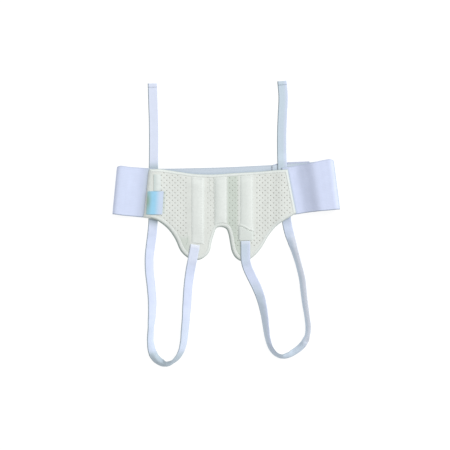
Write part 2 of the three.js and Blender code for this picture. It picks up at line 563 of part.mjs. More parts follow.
// The strap's inner edge is the one on the loop's inside: to the left of its run on the left strap.
function legStrap(rows, anchor, loop, innerSide) {
  const points = rows.map((row) => vector(
    anchor.x + row.across * loop.width, anchor.y - row.down * loop.depth + row.tail * loop.tail));
  const seats = rows.map((row, i) => STRAP_SEATS[row.on](points[i].x, points[i].y) * row.share);
  const path = spline(points);
  const count = (rows.length - 1) * STRAP_STATIONS_PER_ROW;
  const hemStart = path.getUtoTmapping(1 - HEM_LENGTH / path.getLength());
  const hemStep = path.getUtoTmapping(1 - (HEM_LENGTH + STRAP_THICK) / path.getLength());
  const stations = Array.from({ length: count + 1 }, (unused, i) => i / count);
  const half = STRAP_WIDTH / 2;
  const upper = [];
  const lower = [];
  for (const t of [...stations.filter((each) => each < hemStep), hemStep, hemStart, 1]) {
    const at = t * (rows.length - 1);
    const row = Math.min(Math.floor(at), rows.length - 2);
    const ease = (values) => mix(values[row], values[row + 1], smooth(at - row));
    const [innerTilt, outerTilt] = ['inner', 'outer'].map((side) => (
      THREE.MathUtils.degToRad(ease(rows.map((each) => each[side])))));
    const run = path.getTangent(t).setZ(0).normalize();
    const inwards = vector(-run.y, run.x).multiplyScalar(innerSide);
    const rising = (tilt) => inwards.clone().multiplyScalar(Math.cos(tilt)).setZ(Math.sin(tilt));
    const facing = (tilt) => inwards.clone().multiplyScalar(-Math.sin(tilt)).setZ(Math.cos(tilt));
    const shift = (Math.cos(outerTilt) - Math.cos(innerTilt)) * half / 2;
    const lift = half * Math.max(0, -Math.sin(innerTilt), Math.sin(outerTilt));
    const crease = path.getPoint(t).addScaledVector(inwards, shift).setZ(ease(seats) + lift);
    const under = [
      crease.clone().addScaledVector(rising(outerTilt), -half),
      crease,
      crease.clone().addScaledVector(rising(innerTilt), half),
    ];
    const outwards = [facing(outerTilt), facing(outerTilt).add(facing(innerTilt)).normalize(), facing(innerTilt)];
    const thickness = STRAP_THICK * (t >= hemStart ? 2 : 1);
    lower.push(under);
    upper.push(under.map((point, i) => point.clone().addScaledVector(outwards[i], thickness)));
  }
  return sheet(upper, lower);
}

// Labels: their corners as shares of PANEL_HALF_WIDTH out and of BAND_WIDTH up.
const CARE_LABEL = [[-0.935, 0.347], [-0.837, 0.347], [-0.837, -0.004], [-0.935, -0.004]];
const SIDE_LABEL = { left: [-1.018, -1.036], right: [-0.798, -0.818], top: -0.010, foot: -0.500, curl: 2.5 };

function careLabel() {
  const points = CARE_LABEL.map(([out, up]) => vector(panelX(out), up * BAND_WIDTH));
  const upper = (x, y) => panelTop(x, y) + GAP + LABEL_THICK;
  return layer((x, y) => panelTop(x, y) + GAP, upper, points);
}

function sideLabel() {
  const shares = [0, 0.2, 0.4, 0.6, 0.8, 1];
  const { left, right, top, foot, curl } = SIDE_LABEL;
  const grid = (height) => shares.map((down) => shares.map((across) => {
    const from = panelX(mix(left[0], left[1], down));
    const x = mix(from, panelX(mix(right[0], right[1], down)), across);
    const y = mix(top, foot, down) * BAND_WIDTH;
    return vector(x, y, overPanel(x, y) + curl * across ** 3 + height);
  }));
  return sheet(grid(LABEL_THICK), grid(0));
}

// The belt
const LAVENDER = '#D3DBF2';
const CREAM = '#DDE2DC';
const materials = {
  elastic: new THREE.MeshStandardMaterial({ color: LAVENDER, roughness: 0.85, metalness: 0 }),
  foam: new THREE.MeshStandardMaterial({ color: CREAM, roughness: 0.9, metalness: 0 }),
  binding: new THREE.MeshStandardMaterial({ color: '#E6EBE5', roughness: 0.8, metalness: 0 }),
  webbing: new THREE.MeshStandardMaterial({ color: '#D5DDF4', roughness: 0.85, metalness: 0 }),
  hook: new THREE.MeshStandardMaterial({ color: '#C9D0E4', roughness: 0.7, metalness: 0 }),
  care: new THREE.MeshStandardMaterial({ color: '#F2F4F2', roughness: 0.6, metalness: 0 }),
  tag: new THREE.MeshStandardMaterial({ color: '#8FA6E0', roughness: 0.55, metalness: 0 }),
};

const belt = new THREE.Group();
function add(name, geometry, material) {
  const mesh = new THREE.Mesh(geometry, material.clone());
  mesh.name = name;
  belt.add(mesh);
}
add('front_panel', frontPanel(), materials.foam);
add('edge_binding', edgeBinding(), materials.binding);
add('strip_left', strip(STRIPS.left, lowerEnd(STRIPS.left, LEFT_STRIP_END)), materials.binding);
add('strip_centre', strip(STRIPS.centre, lowerEnd(STRIPS.centre, CENTRE_STRIP_END)), materials.binding);
add('strip_right', strip(STRIPS.right, lowerEnd(STRIPS.right, RIGHT_STRIP_END)), materials.binding);
add('anchor_patch', anchorPatch(), materials.binding);
add('side_band_left', band(LEFT_BAND, LEFT_REACH, LEFT_FOLD_HEIGHT, LEFT_LEVELS), materials.elastic);
add('side_band_right', band(RIGHT_BAND, RIGHT_REACH, RIGHT_FOLD_HEIGHT, RIGHT_LEVELS), materials.elastic);
add('hook_tab', hookTab(), materials.hook);
add('leg_strap_left', legStrap(LEFT_STRAP, LEFT_ANCHOR, LEFT_LOOP, -1), materials.webbing);
add('leg_strap_right', legStrap(RIGHT_STRAP, RIGHT_ANCHOR, RIGHT_LOOP, 1), materials.webbing);
add('care_label', careLabel(), materials.care);
add('side_label', sideLabel(), materials.tag);

export default belt;
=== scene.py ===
"""Looks of a hernia belt that lies fastened on a pale surface, front side up.

Every piece is worked out in millimetres, as the belt's own solids are, and turned to metres when it
becomes a mesh. X points to the right of the belt, Y to its upper waist edge and Z up.
"""
import math

import bpy
import numpy as np
from bpy.props import FloatProperty, FloatVectorProperty, PointerProperty
from bpy.types import Operator, Panel, PropertyGroup
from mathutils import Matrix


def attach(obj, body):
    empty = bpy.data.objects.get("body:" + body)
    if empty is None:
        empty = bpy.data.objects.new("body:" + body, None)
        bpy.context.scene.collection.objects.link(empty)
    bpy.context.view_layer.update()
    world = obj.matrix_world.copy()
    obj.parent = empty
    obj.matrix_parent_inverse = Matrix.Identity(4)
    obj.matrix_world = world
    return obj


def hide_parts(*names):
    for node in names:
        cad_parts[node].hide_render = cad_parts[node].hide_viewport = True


bl_info = {
    "name": "Hernia Belt",
    "version": (1, 0, 0),
    "blender": (4, 5, 0),
    "location": "View3D > Sidebar > Belt",
    "description": "Makes the cloth, elastic, webbing and stitching of a hernia belt",
    "category": "Object",
}

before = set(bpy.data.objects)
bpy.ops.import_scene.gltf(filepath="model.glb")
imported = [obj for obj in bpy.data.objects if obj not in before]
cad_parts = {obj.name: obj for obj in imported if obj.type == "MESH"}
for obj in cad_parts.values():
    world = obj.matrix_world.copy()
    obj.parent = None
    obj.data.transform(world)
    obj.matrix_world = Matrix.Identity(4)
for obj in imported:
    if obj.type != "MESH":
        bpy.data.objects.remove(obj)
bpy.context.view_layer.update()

MM = 0.001


def linear(colour):
    """An sRGB hex colour as linear red, green and blue."""
    share = np.array([int(colour[i:i + 2], 16) for i in (1, 3, 5)]) / 255
    return tuple(np.where(share <= 0.04045, share / 12.92, ((share + 0.055) / 1.055) ** 2.4))


# Cloth and clearance, as in the belt's solids
GAP = 0.3
BAND_WIDTH = 100
BAND_THICK = 1.5
STRAP_WIDTH = 20
STRAP_THICK = 1.2
CREASE_WIDTH = 4
HEM_LENGTH = 8
STRIP_THICK = 1.2
BINDING_THICK = 1
BINDING_WIDTH = 6.5
PANEL_HALF_WIDTH = 155
PANEL_CENTRE_X = -6.2
PANEL_TOP_RISE = 46.5
LOBE_DROP = 146
FOAM_THICK = 4.2
FOAM_RIM_THICK = 1.6
FOAM_SLOPE_WIDTH = 20
RIDGE_HEIGHT = 2
RIDGE_MARGIN = 2
LEFT_REACH = 234
RIGHT_REACH = 237
LEFT_FOLD_HEIGHT = 14.75
RIGHT_FOLD_HEIGHT = 23.25
BAND_JOIN_X = 100
TAB_LENGTH = (RIGHT_REACH - BAND_JOIN_X) * 0.584
LEFT_ANCHOR = (-63.5, -114.3)
LEFT_LOOP = (-94, 253.5, 343.6)
RIGHT_ANCHOR = (43.2, -106.5)
RIGHT_LOOP = (134, 244.3, 340.8)

# Heights of what lies on what
RIM_THICK = FOAM_RIM_THICK + 2 * (GAP + BINDING_THICK)
BAND_STEP = BAND_THICK + GAP
STRAP_STEP = STRAP_THICK + GAP
FLOOR_MID = BAND_THICK / 2
ON_BACK = FLOOR_MID + BAND_STEP
PANEL_BED = BAND_STEP + RIM_THICK / 2
PANEL_LEFT_END = PANEL_BED + STRAP_STEP + BAND_STEP
PANEL_OVER_TAB = PANEL_BED + BAND_STEP
PANEL_RIGHT_END = PANEL_OVER_TAB + STRAP_STEP + BAND_STEP
FALL_START = -BAND_WIDTH * 0.56
FALL_END = -LOBE_DROP * 0.85
TAB_END_X = BAND_JOIN_X + TAB_LENGTH

# Lower edge of the panel from the notch outwards: out on each side, and down, as shares
LOWER_LEFT = [
    (0.073, 0.54), (0.113, 0.636), (0.146, 0.758), (0.166, 0.862), (0.216, 0.942), (0.313, 0.993),
    (0.43, 0.974), (0.545, 0.873), (0.63, 0.685), (0.73, 0.536), (0.882, 0.416), (1.059, 0.37),
]
LOWER_RIGHT = [
    (0.073, 0.54), (0.104, 0.62), (0.126, 0.745), (0.15, 0.865), (0.203, 0.962), (0.303, 1.014),
    (0.425, 0.96), (0.535, 0.833), (0.64, 0.648), (0.745, 0.512), (0.862, 0.422), (1.015, 0.325),
]
NOTCH_CROWN = 0.514
UPPER_EDGE = [
    (-0.991, 0.992), (-0.85, 1), (-0.6, 0.882), (-0.4, 0.79), (-0.139, 0.755), (0.18, 0.822),
    (0.501, 0.884), (0.74, 0.952), (0.899, 0.981),
]
OUTLINE_STEP = 8
OUTLINE_PARTS = 4
PANEL_WAVE = [
    (-1.02, PANEL_LEFT_END), (-0.93, PANEL_LEFT_END), (-0.72, PANEL_BED), (0.52, PANEL_BED),
    (0.66, PANEL_OVER_TAB), (0.83, PANEL_RIGHT_END), (1.02, PANEL_RIGHT_END),
]
RIDGES = [
    (-0.55, 0), (-0.33, 1), (-0.22, 0.05), (-0.13, 0.05), (-0.042, 0.6), (0.072, 0), (0.33, 1),
    (0.46, 0.05), (0.6, 0),
]

# Strips: their edges, how much painted shade greys their left side, their lower ends, and how far no hole
# comes beside them
STRIPS = {"left": (-0.42, -0.245), "centre": (-0.106, 0.063), "right": (0.247, 0.424)}
STRIP_SHADE = {"left": 0.0, "centre": 0.35, "right": 0.3}
STRIP_ENDS = {
    "left": [(0, 0.75), (1, 0.778)],
    "centre": [(0, 0.6), (1, 0.6)],
    "right": [(-0.14, 0.506), (0.31, 0.532), (0.72, 0.576), (1.12, 0.591)],
}
HOLE_MARGINS = {"left": (10.7, 1.6), "centre": (1.6, 1.6), "right": (1.6, 4.5)}
RIGHT_STRIP_WAIST = (0.47, 0.48)
WAIST_PLACE = 0.88
PATCH_HEAD = [(min(share, 1.05), down + 0.006) for share, down in STRIP_ENDS["right"]]
PATCH_FOOT = [(-0.12, 0.7), (-0.02, 0.724), (0.9, 0.724), (1.05, 0.7)]

# Depth inside the outline at which the foam ends, under the binding
FOAM_RIM_DEPTH = 2.6

# Holes: how far down each lobe they go, and a hole's rings as width, depth and darkness, which is painted
# shade inside the hole with the warmer colour of what lies beneath
LOBE_HOLES_END = (-100, -117)
HOLE_RINGS = [(1.25, 0.0, 0.0), (1.0, 0.25, 0.5), (0.9, 0.9, 1.0), (0.75, 1.7, 1.0)]
HOLE_DEPTH = 1.75
HOLE_SIDES = 8

# Seams in the open foam: beside the left strip, a small box, and beside the patch
PANEL_SEAMS = [
    [(-80, -87), (-80, -108), (-83.5, -116)],
    [(-33, 32), (-24.5, 32), (-24.5, -2), (-33, -2), (-33, 32)],
    [(28.3, -74), (28.3, -102)],
]

# The binding's section in depth and height, from the upper inner edge out over the rolled rim to the
# lower inner edge, and back inside round the foam
BINDING_FACE = [
    (6.5, -0.48), (6.45, -0.3), (6.1, -0.12), (5.6, -0.02), (5, -0.1), (4.4, 0), (3.6, -0.15), (2.8, -0.55),
    (2, -1.1), (1.3, -1.75), (0.7, -2.5), (0.3, -3.1), (0, -3.6), (0.15, -4.05), (0.6, -4.2), (3, -4.2),
    (5, -4.2), (6.1, -4.08), (6.5, -3.72),
]
BINDING_LINING = [
    (6.4, -1.6), (5.2, -1.32), (4, -1.08), (2.4, -0.85), (2.2, 0), (2.4, 0.85), (4, 1.08), (5.2, 1.32),
    (6.4, 1.6),
]
BINDING_SEAM = 5.0
BINDING_ROLL = 3.2

# Side bands: out, rise, half heights above and below the middle, lean. Levels: height of a run of rows
LEFT_BAND = [
    (-0.654, 0, 0.484, 0.545, 0.106), (-0.705, 0, 0.484, 0.545, 0.106),
    (-0.744, 0.055, 0.488, 0.54, 0.105), (-0.786, 0.03, 0.495, 0.53, 0.105),
    (-0.84, 0.34, 0.503, 0.518, 0.104), (-0.898, 0.69, 0.512, 0.506, 0.103),
    (-0.942, 0.93, 0.526, 0.492, 0.102), (-0.972, 1, 0.528, 0.482, 0.1),
    (-0.992, 0.845, 0.512, 0.476, 0.098), (-0.997, 0.55, 0.495, 0.474, 0.096),
    (-0.987, 0.25, 0.49, 0.474, 0.094), (-0.962, 0.07, 0.488, 0.476, 0.092),
    (-0.925, 0, 0.487, 0.48, 0.088), (-0.88, 0, 0.485, 0.488, 0.082), (-0.6, 0, 0.475, 0.52, 0.04),
    (-0.29, 0, 0.486, 0.51, 0.01), (0.01, 0, 0.505, 0.495, 0), (0.3, 0, 0.537, 0.463, 0),
    ((BAND_JOIN_X - GAP) / LEFT_REACH, 0, 0.552, 0.448, 0),
]
LEFT_LEVELS = [(ON_BACK + STRAP_STEP, 2), (ON_BACK, 2), (FLOOR_MID, 15)]
RIGHT_BAND = [
    (0.545, 0, 0.49, 0.488, -0.18), (0.593, 0, 0.5, 0.48, -0.18), (0.635, 0.05, 0.518, 0.465, -0.18),
    (0.68, 0.1, 0.54, 0.448, -0.178), (0.74, 0.52, 0.564, 0.43, -0.175),
    (0.81, 0.92, 0.592, 0.413, -0.168), (0.873, 0.985, 0.628, 0.401, -0.158),
    (0.922, 1, 0.652, 0.391, -0.148), (0.957, 1, 0.664, 0.383, -0.14),
    (0.984, 0.86, 0.652, 0.378, -0.136), (0.997, 0.6, 0.632, 0.376, -0.134),
    (0.994, 0.33, 0.628, 0.376, -0.132), (0.975, 0.12, 0.634, 0.378, -0.13),
    (0.94, 0.02, 0.648, 0.382, -0.12), (0.895, 0, 0.652, 0.388, -0.1), (0.825, 0, 0.625, 0.398, -0.06),
    ((TAB_END_X + 2 * BAND_THICK) / RIGHT_REACH, 0, 0.612, 0.402, -0.03),
    ((TAB_END_X - 2 * BAND_THICK) / RIGHT_REACH, 0, 0.604, 0.404, -0.02), (0.56, 0, 0.575, 0.425, 0),
    (BAND_JOIN_X / RIGHT_REACH, 0, 0.552, 0.445, 0),
]
RIGHT_LEVELS = [
    (ON_BACK + BAND_STEP + STRAP_STEP, 2), (ON_BACK + BAND_STEP, 2), (FLOOR_MID, 12), (ON_BACK, 4),
]
BAND_ROLL = 2.0
BORDER_WIDTH = 7.8
BORDER_RELIEF = 0.22
BORDER_PITCH = 2.6
# Painted shade beside the panel, on the fold and at least, and how far the grey of the back face spreads by
# the panel as painted shade
BAND_LOOKS = {"left": (0.35, 0.15, 0.12, 0.85), "right": (0.7, 0.85, 0.0, 0.0)}
TAB_ROWS = [(0, 0.552, 0.448), (0.14, 0.584, 0.448), (0.45, 0.618, 0.436), (1, 0.632, 0.424)]

# Leg straps: across, down as a share of the loop or, below 0, up as a share of the tail, and the tilt in
# degrees, or the tilts of the inner and the outer half
LEFT_STRAP = [
    (0, 0, 0), (0.03, 0.066, 0), (0.062, 0.128, 0), (0.095, 0.185, 6), (0.127, 0.256, 14),
    (0.161, 0.353, 21), (0.188, 0.5, 22), (0.21, 0.618, 33), (0.235, 0.718, 36), (0.262, 0.815, 42),
    (0.312, 0.885, 50), (0.395, 0.94, 57), (0.5, 0.975, 64), (0.64, 0.996, 30, 72),
    (0.785, 0.984, -35, 48), (0.905, 0.947, -42, 25), (0.977, 0.888, -40, -35), (1.012, 0.805, -50),
    (1.002, 0.7, -53), (0.98, 0.605, -40), (0.97, 0.48, -29), (0.995, 0.353, -27), (1.035, 0.215, -26),
    (1.038, 0.101, -24), (1.014, 0.017, -16), (0.98, -0.06, -6), (0.96, -0.12, 0), (0.948, -0.18, 0),
    (0.941, -0.24, 0), (0.941, -0.475, 0), (0.941, -0.53, 0), (0.939, -0.65, 0), (0.943, -0.77, 0),
    (0.957, -0.88, 0), (0.968, -1, 0),
]
RIGHT_STRAP = [
    (0, 0, 0), (0.002, 0.09, 0), (0.006, 0.175, 0), (0.033, 0.231, 0), (0.088, 0.3, 0), (0.176, 0.397, 5),
    (0.238, 0.484, 20), (0.279, 0.571, 33), (0.308, 0.658, 43), (0.33, 0.75, 50), (0.355, 0.84, 57),
    (0.405, 0.925, 60), (0.482, 0.978, 61), (0.576, 0.999, 50, 68), (0.679, 0.988, 5, 78),
    (0.785, 0.962, -48, 60), (0.88, 0.922, -55, 50), (0.946, 0.876, -76, 8), (0.983, 0.825, -66, -62),
    (0.999, 0.748, -59), (0.98, 0.655, -60), (0.945, 0.527, -55), (0.926, 0.44, -53), (0.903, 0.33, -51),
    (0.846, 0.201, -53), (0.79, 0.095, -46), (0.738, 0.004, -27), (0.701, -0.044, -9), (0.668, -0.098, 0),
    (0.645, -0.168, 0), (0.632, -0.215, 0), (0.592, -0.38, 0), (0.583, -0.49, 0), (0.58, -0.56, 0),
    (0.58, -0.68, 0), (0.592, -0.8, 0), (0.602, -0.9, 0), (0.583, -1, 0),
]
# Shares of the lobe's height under a strap's first rows, and the stretch of its tail on the back bands
ON_LOBE = (1, 1, 1, 0.45)
ON_BANDS = (0.15, 0.5)
# Steps across a strap in which its section is added up
STRAP_SPOTS = 80
# Seams across a strap: place from its start or, below 0, from its end, cloths sewn, how far it sinks
STRAP_SEAMS = ((1.6 - HEM_LENGTH, 2, 0.42), (2.2, 1, 0.3), (6.5, 1, 0.3))
# How much painted shade greys a strap along the loop and on the tail, how white it is at the anchor, and
# how dark the painted edge shade is at the loop's foot and where the strap comes out from under the belt
STRAP_LOOKS = {"left": (0.12, 0.1, 0.9, 0.27, 0.35), "right": (0.8, 1.0, 0.3, 0.12, 0.15)}

# Length along a strap past which the belt's painted shadow falls on it, and the right loop's middle, with
# the stretch of its left run and that of its right run where the painted shade is lifted, as place, reach
# and strength
UPWARD_RUN = 300
LOOP_MIDDLE_X = 100
CLEAR_STRETCHES = ((-179, 26, 0.9), (-75, 34, 0.6))

# Labels: corners as shares of PANEL_HALF_WIDTH out and of BAND_WIDTH up, and their sizes
CARE_LABEL = {"left": -0.935, "right": -0.837, "top": 0.347, "foot": -0.004, "size": (15.2, 35.1)}
SIDE_LABEL = {
    "left": (-1.018, -1.036), "right": (-0.798, -0.818), "top": -0.01, "foot": -0.5, "size": (34.1, 49),
}
SIDE_LABEL_CURL = 2.5

SEAMS = []
UP = np.array([0.0, 0.0, 1.0])
# The way in the plan from the light to the belt's shaded side
AWAY = np.array([-0.79, -0.61])


def smooth(t):
    """Eases 0 to 1: three times t squared less twice t cubed, held at both ends."""
    t = np.clip(t, 0, 1)
    return t * t * (3 - 2 * t)


def mix(a, b, t):
    """The value that lies the share t of the way from a to b."""
    return a + (b - a) * t


def eased(rows, place):
    """The value of a table of place and value at many places, eased from row to row."""
    places, values = np.array(rows, float).T
    i = np.clip(np.searchsorted(places, place) - 1, 0, len(rows) - 2)
    return mix(values[i], values[i + 1], smooth((place - places[i]) / (places[i + 1] - places[i])))


def curve(points, t):
    """Points at the shares t of a centripetal spline: cubic pieces whose slopes at each knot are
    weighted by the square root of the distances to the knots on both sides."""
    p = np.asarray(points, float)
    p = np.vstack([2 * p[0] - p[1], p, 2 * p[-1] - p[-2]])
    at = np.clip(t, 0, 1) * (len(p) - 3)
    i = np.minimum(at.astype(int), len(p) - 4)
    w = (at - i)[:, None]
    a, b, c, d = p[i], p[i + 1], p[i + 2], p[i + 3]
    before, here, after = (np.linalg.norm(v - u, axis=1)[:, None] ** 0.5 for u, v in ((a, b), (b, c), (c, d)))
    start = ((b - a) / before - (c - a) / (before + here) + (c - b) / here) * here
    end = ((c - b) / here - (d - b) / (here + after) + (d - c) / after) * here
    return b + w * start + w ** 2 * (3 * (c - b) - 2 * start - end) + w ** 3 * (2 * (b - c) + start + end)


def run_of(points):
    """The length run from the first point to each point of a line."""
    return np.concatenate([[0], np.cumsum(np.linalg.norm(np.diff(points, axis=0), axis=1))])


def even_places(length, step):
    """Places from 0 to a length, in a whole number of steps near the one asked for."""
    return np.linspace(0, length, round(length / step) + 1)


def points_along(line, places, shares=False):
    """Points at distances, or at shares of its length, along a broken line."""
    line = np.asarray(line, float)
    run = run_of(line)
    if shares:
        run = run / run[-1]
    return np.column_stack([np.interp(places, run, column) for column in line.T])


def panel_x(out):
    """The place across the belt of a share of the panel's half width."""
    return PANEL_CENTRE_X + np.asarray(out, float) * PANEL_HALF_WIDTH


def spaced(points):
    """Points along the spline at the outline's steps, each cut in its parts."""
    fine = curve(points, np.linspace(0, 1, 60 * len(points)))
    length = run_of(fine)[-1]
    return points_along(fine, np.linspace(0, length, OUTLINE_PARTS * round(length / OUTLINE_STEP) + 1))


def panel_outline():
    """The panel's outline as a closed ring, anticlockwise, with the vectors that point inwards: on
    the bisector at each knot, and mixed between the knots."""
    left = [(panel_x(-out), -down * LOBE_DROP) for out, down in LOWER_LEFT[::-1]]
    right = [(panel_x(out), -down * LOBE_DROP) for out, down in LOWER_RIGHT]
    bottom = spaced([*left, (PANEL_CENTRE_X, -NOTCH_CROWN * LOBE_DROP), *right])
    top = spaced([(panel_x(out), up * PANEL_TOP_RISE) for out, up in UPPER_EDGE])[::-1]
    sides = (bottom, spaced([bottom[-1], top[0]]), top, spaced([top[-1], bottom[0]]))
    ring = np.vstack([side[:-1] for side in sides])
    knots = ring[::OUTLINE_PARTS]
    step = np.roll(knots, -1, axis=0) - knots
    after = np.column_stack([-step[:, 1], step[:, 0]]) / np.linalg.norm(step, axis=1)[:, None]
    before = np.roll(after, 1, axis=0)
    bisector = before + after
    bisector /= np.linalg.norm(bisector, axis=1)[:, None]
    bisector /= (bisector * before).sum(axis=1)[:, None]
    share = (np.arange(len(ring)) % OUTLINE_PARTS)[:, None] / OUTLINE_PARTS
    knot = np.arange(len(ring)) // OUTLINE_PARTS
    return ring, mix(bisector[knot], bisector[(knot + 1) % len(knots)], share)


OUTLINE, INWARD = panel_outline()


def nearest_on_outline(x, y):
    """Distance inside the outline, positive within, and the nearest point of the outline. The sign
    is the parity of the outline's crossings with a line to the right."""
    a, b = np.roll(OUTLINE, 1, axis=0), OUTLINE
    depth, near = np.empty(len(x)), np.empty((len(x), 2))
    for start in range(0, len(x), 2000):
        part = slice(start, start + 2000)
        p = np.column_stack([x[part], y[part]])[:, None]
        t = np.clip(((p - a) * (b - a)).sum(axis=2) / ((b - a) ** 2).sum(axis=1), 0, 1)
        foot = a + (b - a) * t[..., None]
        far = np.linalg.norm(p - foot, axis=2)
        best = far.argmin(axis=1)
        rows = np.arange(len(best))
        spans = (b[:, 1] > p[..., 1]) != (a[:, 1] > p[..., 1])
        rise = np.where(a[:, 1] == b[:, 1], 1, a[:, 1] - b[:, 1])
        crossed = spans & (p[..., 0] < b[:, 0] + (a[:, 0] - b[:, 0]) * (p[..., 1] - b[:, 1]) / rise)
        inside = crossed.sum(axis=1) % 2 == 1
        depth[part] = np.where(inside, far[rows, best], -far[rows, best])
        near[part] = foot[rows, best]
    return depth, near


def panel_layers(x, y):
    """Height of the panel's middle and top at many places. The middle is the wave, mixed down to the
    surface along the lobes, plus the ridges and a low ripple. The top is half the foam above it, which
    swells from under the binding inwards."""
    shape = np.shape(x)
    x, y = np.ravel(x).astype(float), np.ravel(y).astype(float)
    out = (x - PANEL_CENTRE_X) / PANEL_HALF_WIDTH
    depth, _ = nearest_on_outline(x, y)
    fall = smooth((y - FALL_START) / (FALL_END - FALL_START))
    clear = smooth((depth - BINDING_WIDTH - RIDGE_MARGIN) / (FOAM_SLOPE_WIDTH - 2 * RIDGE_MARGIN))
    ridge = eased(RIDGES, out) * RIDGE_HEIGHT * clear * (1 - fall)
    ripple = 0.22 * np.sin(x / 11 + 1.3 * np.sin(y / 17)) * np.sin(y / 13 + 0.4 * np.sin(x / 23)) * clear
    middle = mix(eased(PANEL_WAVE, out), RIM_THICK / 2, fall) + ridge + ripple
    swell = 0.85 * smooth((depth - 2) / 7) + 0.15 * smooth((depth - BINDING_WIDTH - 1) / FOAM_SLOPE_WIDTH)
    top = middle + mix(FOAM_RIM_THICK, FOAM_THICK, swell) / 2
    return middle.reshape(shape), top.reshape(shape)


def between(place, start, rise, end, fall):
    """1 between two places, eased from 0 over rise after the first and to 0 over fall after the last."""
    return smooth((place - start) / rise) * (1 - smooth((place - end) / fall))


def bell(distance, width):
    """A bell curve, 1 at no distance: e to the less of the square of distance over width."""
    return np.exp(-(distance / width) ** 2)


def panel_shade(x, y):
    """Painted shade on the panel's face: beside the centre strip, beside the right strap and on the left
    lobe's left flank, and a painted shadow in a line along the side label. The greyest of them counts."""
    by_strip = between(x, 3, 3, 24, 7)
    by_strap = smooth((-78 - y) / 22) * between(x, 16, 7, 34, 3)
    left_lobe = 0.7 * smooth((-90 - y) / 16) * (1 - smooth((x + 79) / 8))
    share = (y / BAND_WIDTH - SIDE_LABEL["top"]) / (SIDE_LABEL["foot"] - SIDE_LABEL["top"])
    from_label = x - panel_x(mix(*SIDE_LABEL["right"], np.clip(share, 0, 1)))
    along = (y < 1) & (y > SIDE_LABEL["foot"] * BAND_WIDTH + 3)
    return np.maximum.reduce([by_strip, by_strap, left_lobe, 0.9 * along * bell(from_label - 1.5, 2.2)])


def grid_quads(rows, columns):
    """The faces of a grid of points, row after row."""
    i, j = np.meshgrid(np.arange(rows - 1), np.arange(columns - 1), indexing="ij")
    a = (i * columns + j).ravel()
    return np.column_stack([a, a + 1, a + columns + 1, a + columns])


def walls(quads, offset):
    """Faces that join each open edge of the upper faces to the same edge, offset, below."""
    start, end = quads.ravel(), np.roll(quads, -1, axis=1).ravel()
    size = quads.max() + 1
    open_edge = ~np.isin(start * size + end, end * size + start)
    u, v = start[open_edge], end[open_edge]
    return np.column_stack([v, u, u + offset, v + offset])


def shell(upper, lower):
    """A closed sheet from two grids of points of the same shape, its faces turned outwards."""
    rows, columns = upper.shape[:2]
    quads = grid_quads(rows, columns)
    count = rows * columns
    points = np.vstack([upper.reshape(-1, 3), lower.reshape(-1, 3)])
    faces = np.vstack([quads, quads[:, ::-1] + count, walls(quads, count)])
    a, b, c = (points[faces[:, k]] for k in range(3))
    volume = (a * np.cross(b, c)).sum() + (a * np.cross(c, points[faces[:, 3]])).sum()
    return points, faces if volume > 0 else faces[:, ::-1]


def rounded(distance, radius):
    """The height of a quarter round, as a share, at a distance from an edge."""
    return np.sqrt(np.clip(1 - (1 - np.clip(distance / radius, 0, 1)) ** 2, 0, 1))


def across_places(width, count, edge=1.0):
    """Places from 0 to width, evenly spaced but for closer ones that round both edges."""
    near = edge * np.array([0, 0.12, 0.4])
    return np.concatenate([near, np.linspace(edge, width - edge, count), width - near[::-1]])


def sheet_uv(along, across):
    """The UV of both faces of a sheet, from its places along and across."""
    uv = np.column_stack([np.repeat(along, len(across)), np.tile(across, len(along))])
    return np.vstack([uv, uv])


def make_piece(name, points, quads, material, nodes=(), uv=None, values=None, triangles=()):
    """A smooth mesh in metres that rides on the belt and stands for the named solids. The points'
    UV is in metres too, so that a weave's scale is that of Object coordinates."""
    corners = np.concatenate([np.ravel(quads), np.ravel(triangles)]).astype(np.int32)
    starts = np.concatenate([4 * np.arange(len(quads)), 4 * len(quads) + 3 * np.arange(len(triangles))])
    mesh = bpy.data.meshes.new(name)
    mesh.vertices.add(len(points))
    mesh.vertices.foreach_set("co", (points * MM).astype(np.float32).ravel())
    mesh.loops.add(len(corners))
    mesh.loops.foreach_set("vertex_index", corners)
    mesh.polygons.add(len(starts))
    mesh.polygons.foreach_set("loop_start", starts.astype(np.int32))
    mesh.polygons.foreach_set("use_smooth", np.ones(len(starts), bool))
    mesh.update(calc_edges=True)
    if uv is not None:
        layer = mesh.uv_layers.new(name="Cloth")
        layer.data.foreach_set("uv", (uv[corners] * MM).astype(np.float32).ravel())
    for label, value in (values or {}).items():
        attribute = mesh.attributes.new(label, "FLOAT", "POINT")
        attribute.data.foreach_set("value", np.asarray(value, np.float32))
    mesh.materials.append(material)
    mesh.validate()
    piece = bpy.data.objects.new(name, mesh)
    bpy.context.scene.collection.objects.link(piece)
    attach(piece, "root")
    if nodes:
        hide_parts(*nodes)
    return piece


STITCH_SIDES = 6
STITCH_RINGS = ((-0.32, 0.75), (0.0, 1.0), (0.32, 0.75))
STITCH_REACH = 0.44


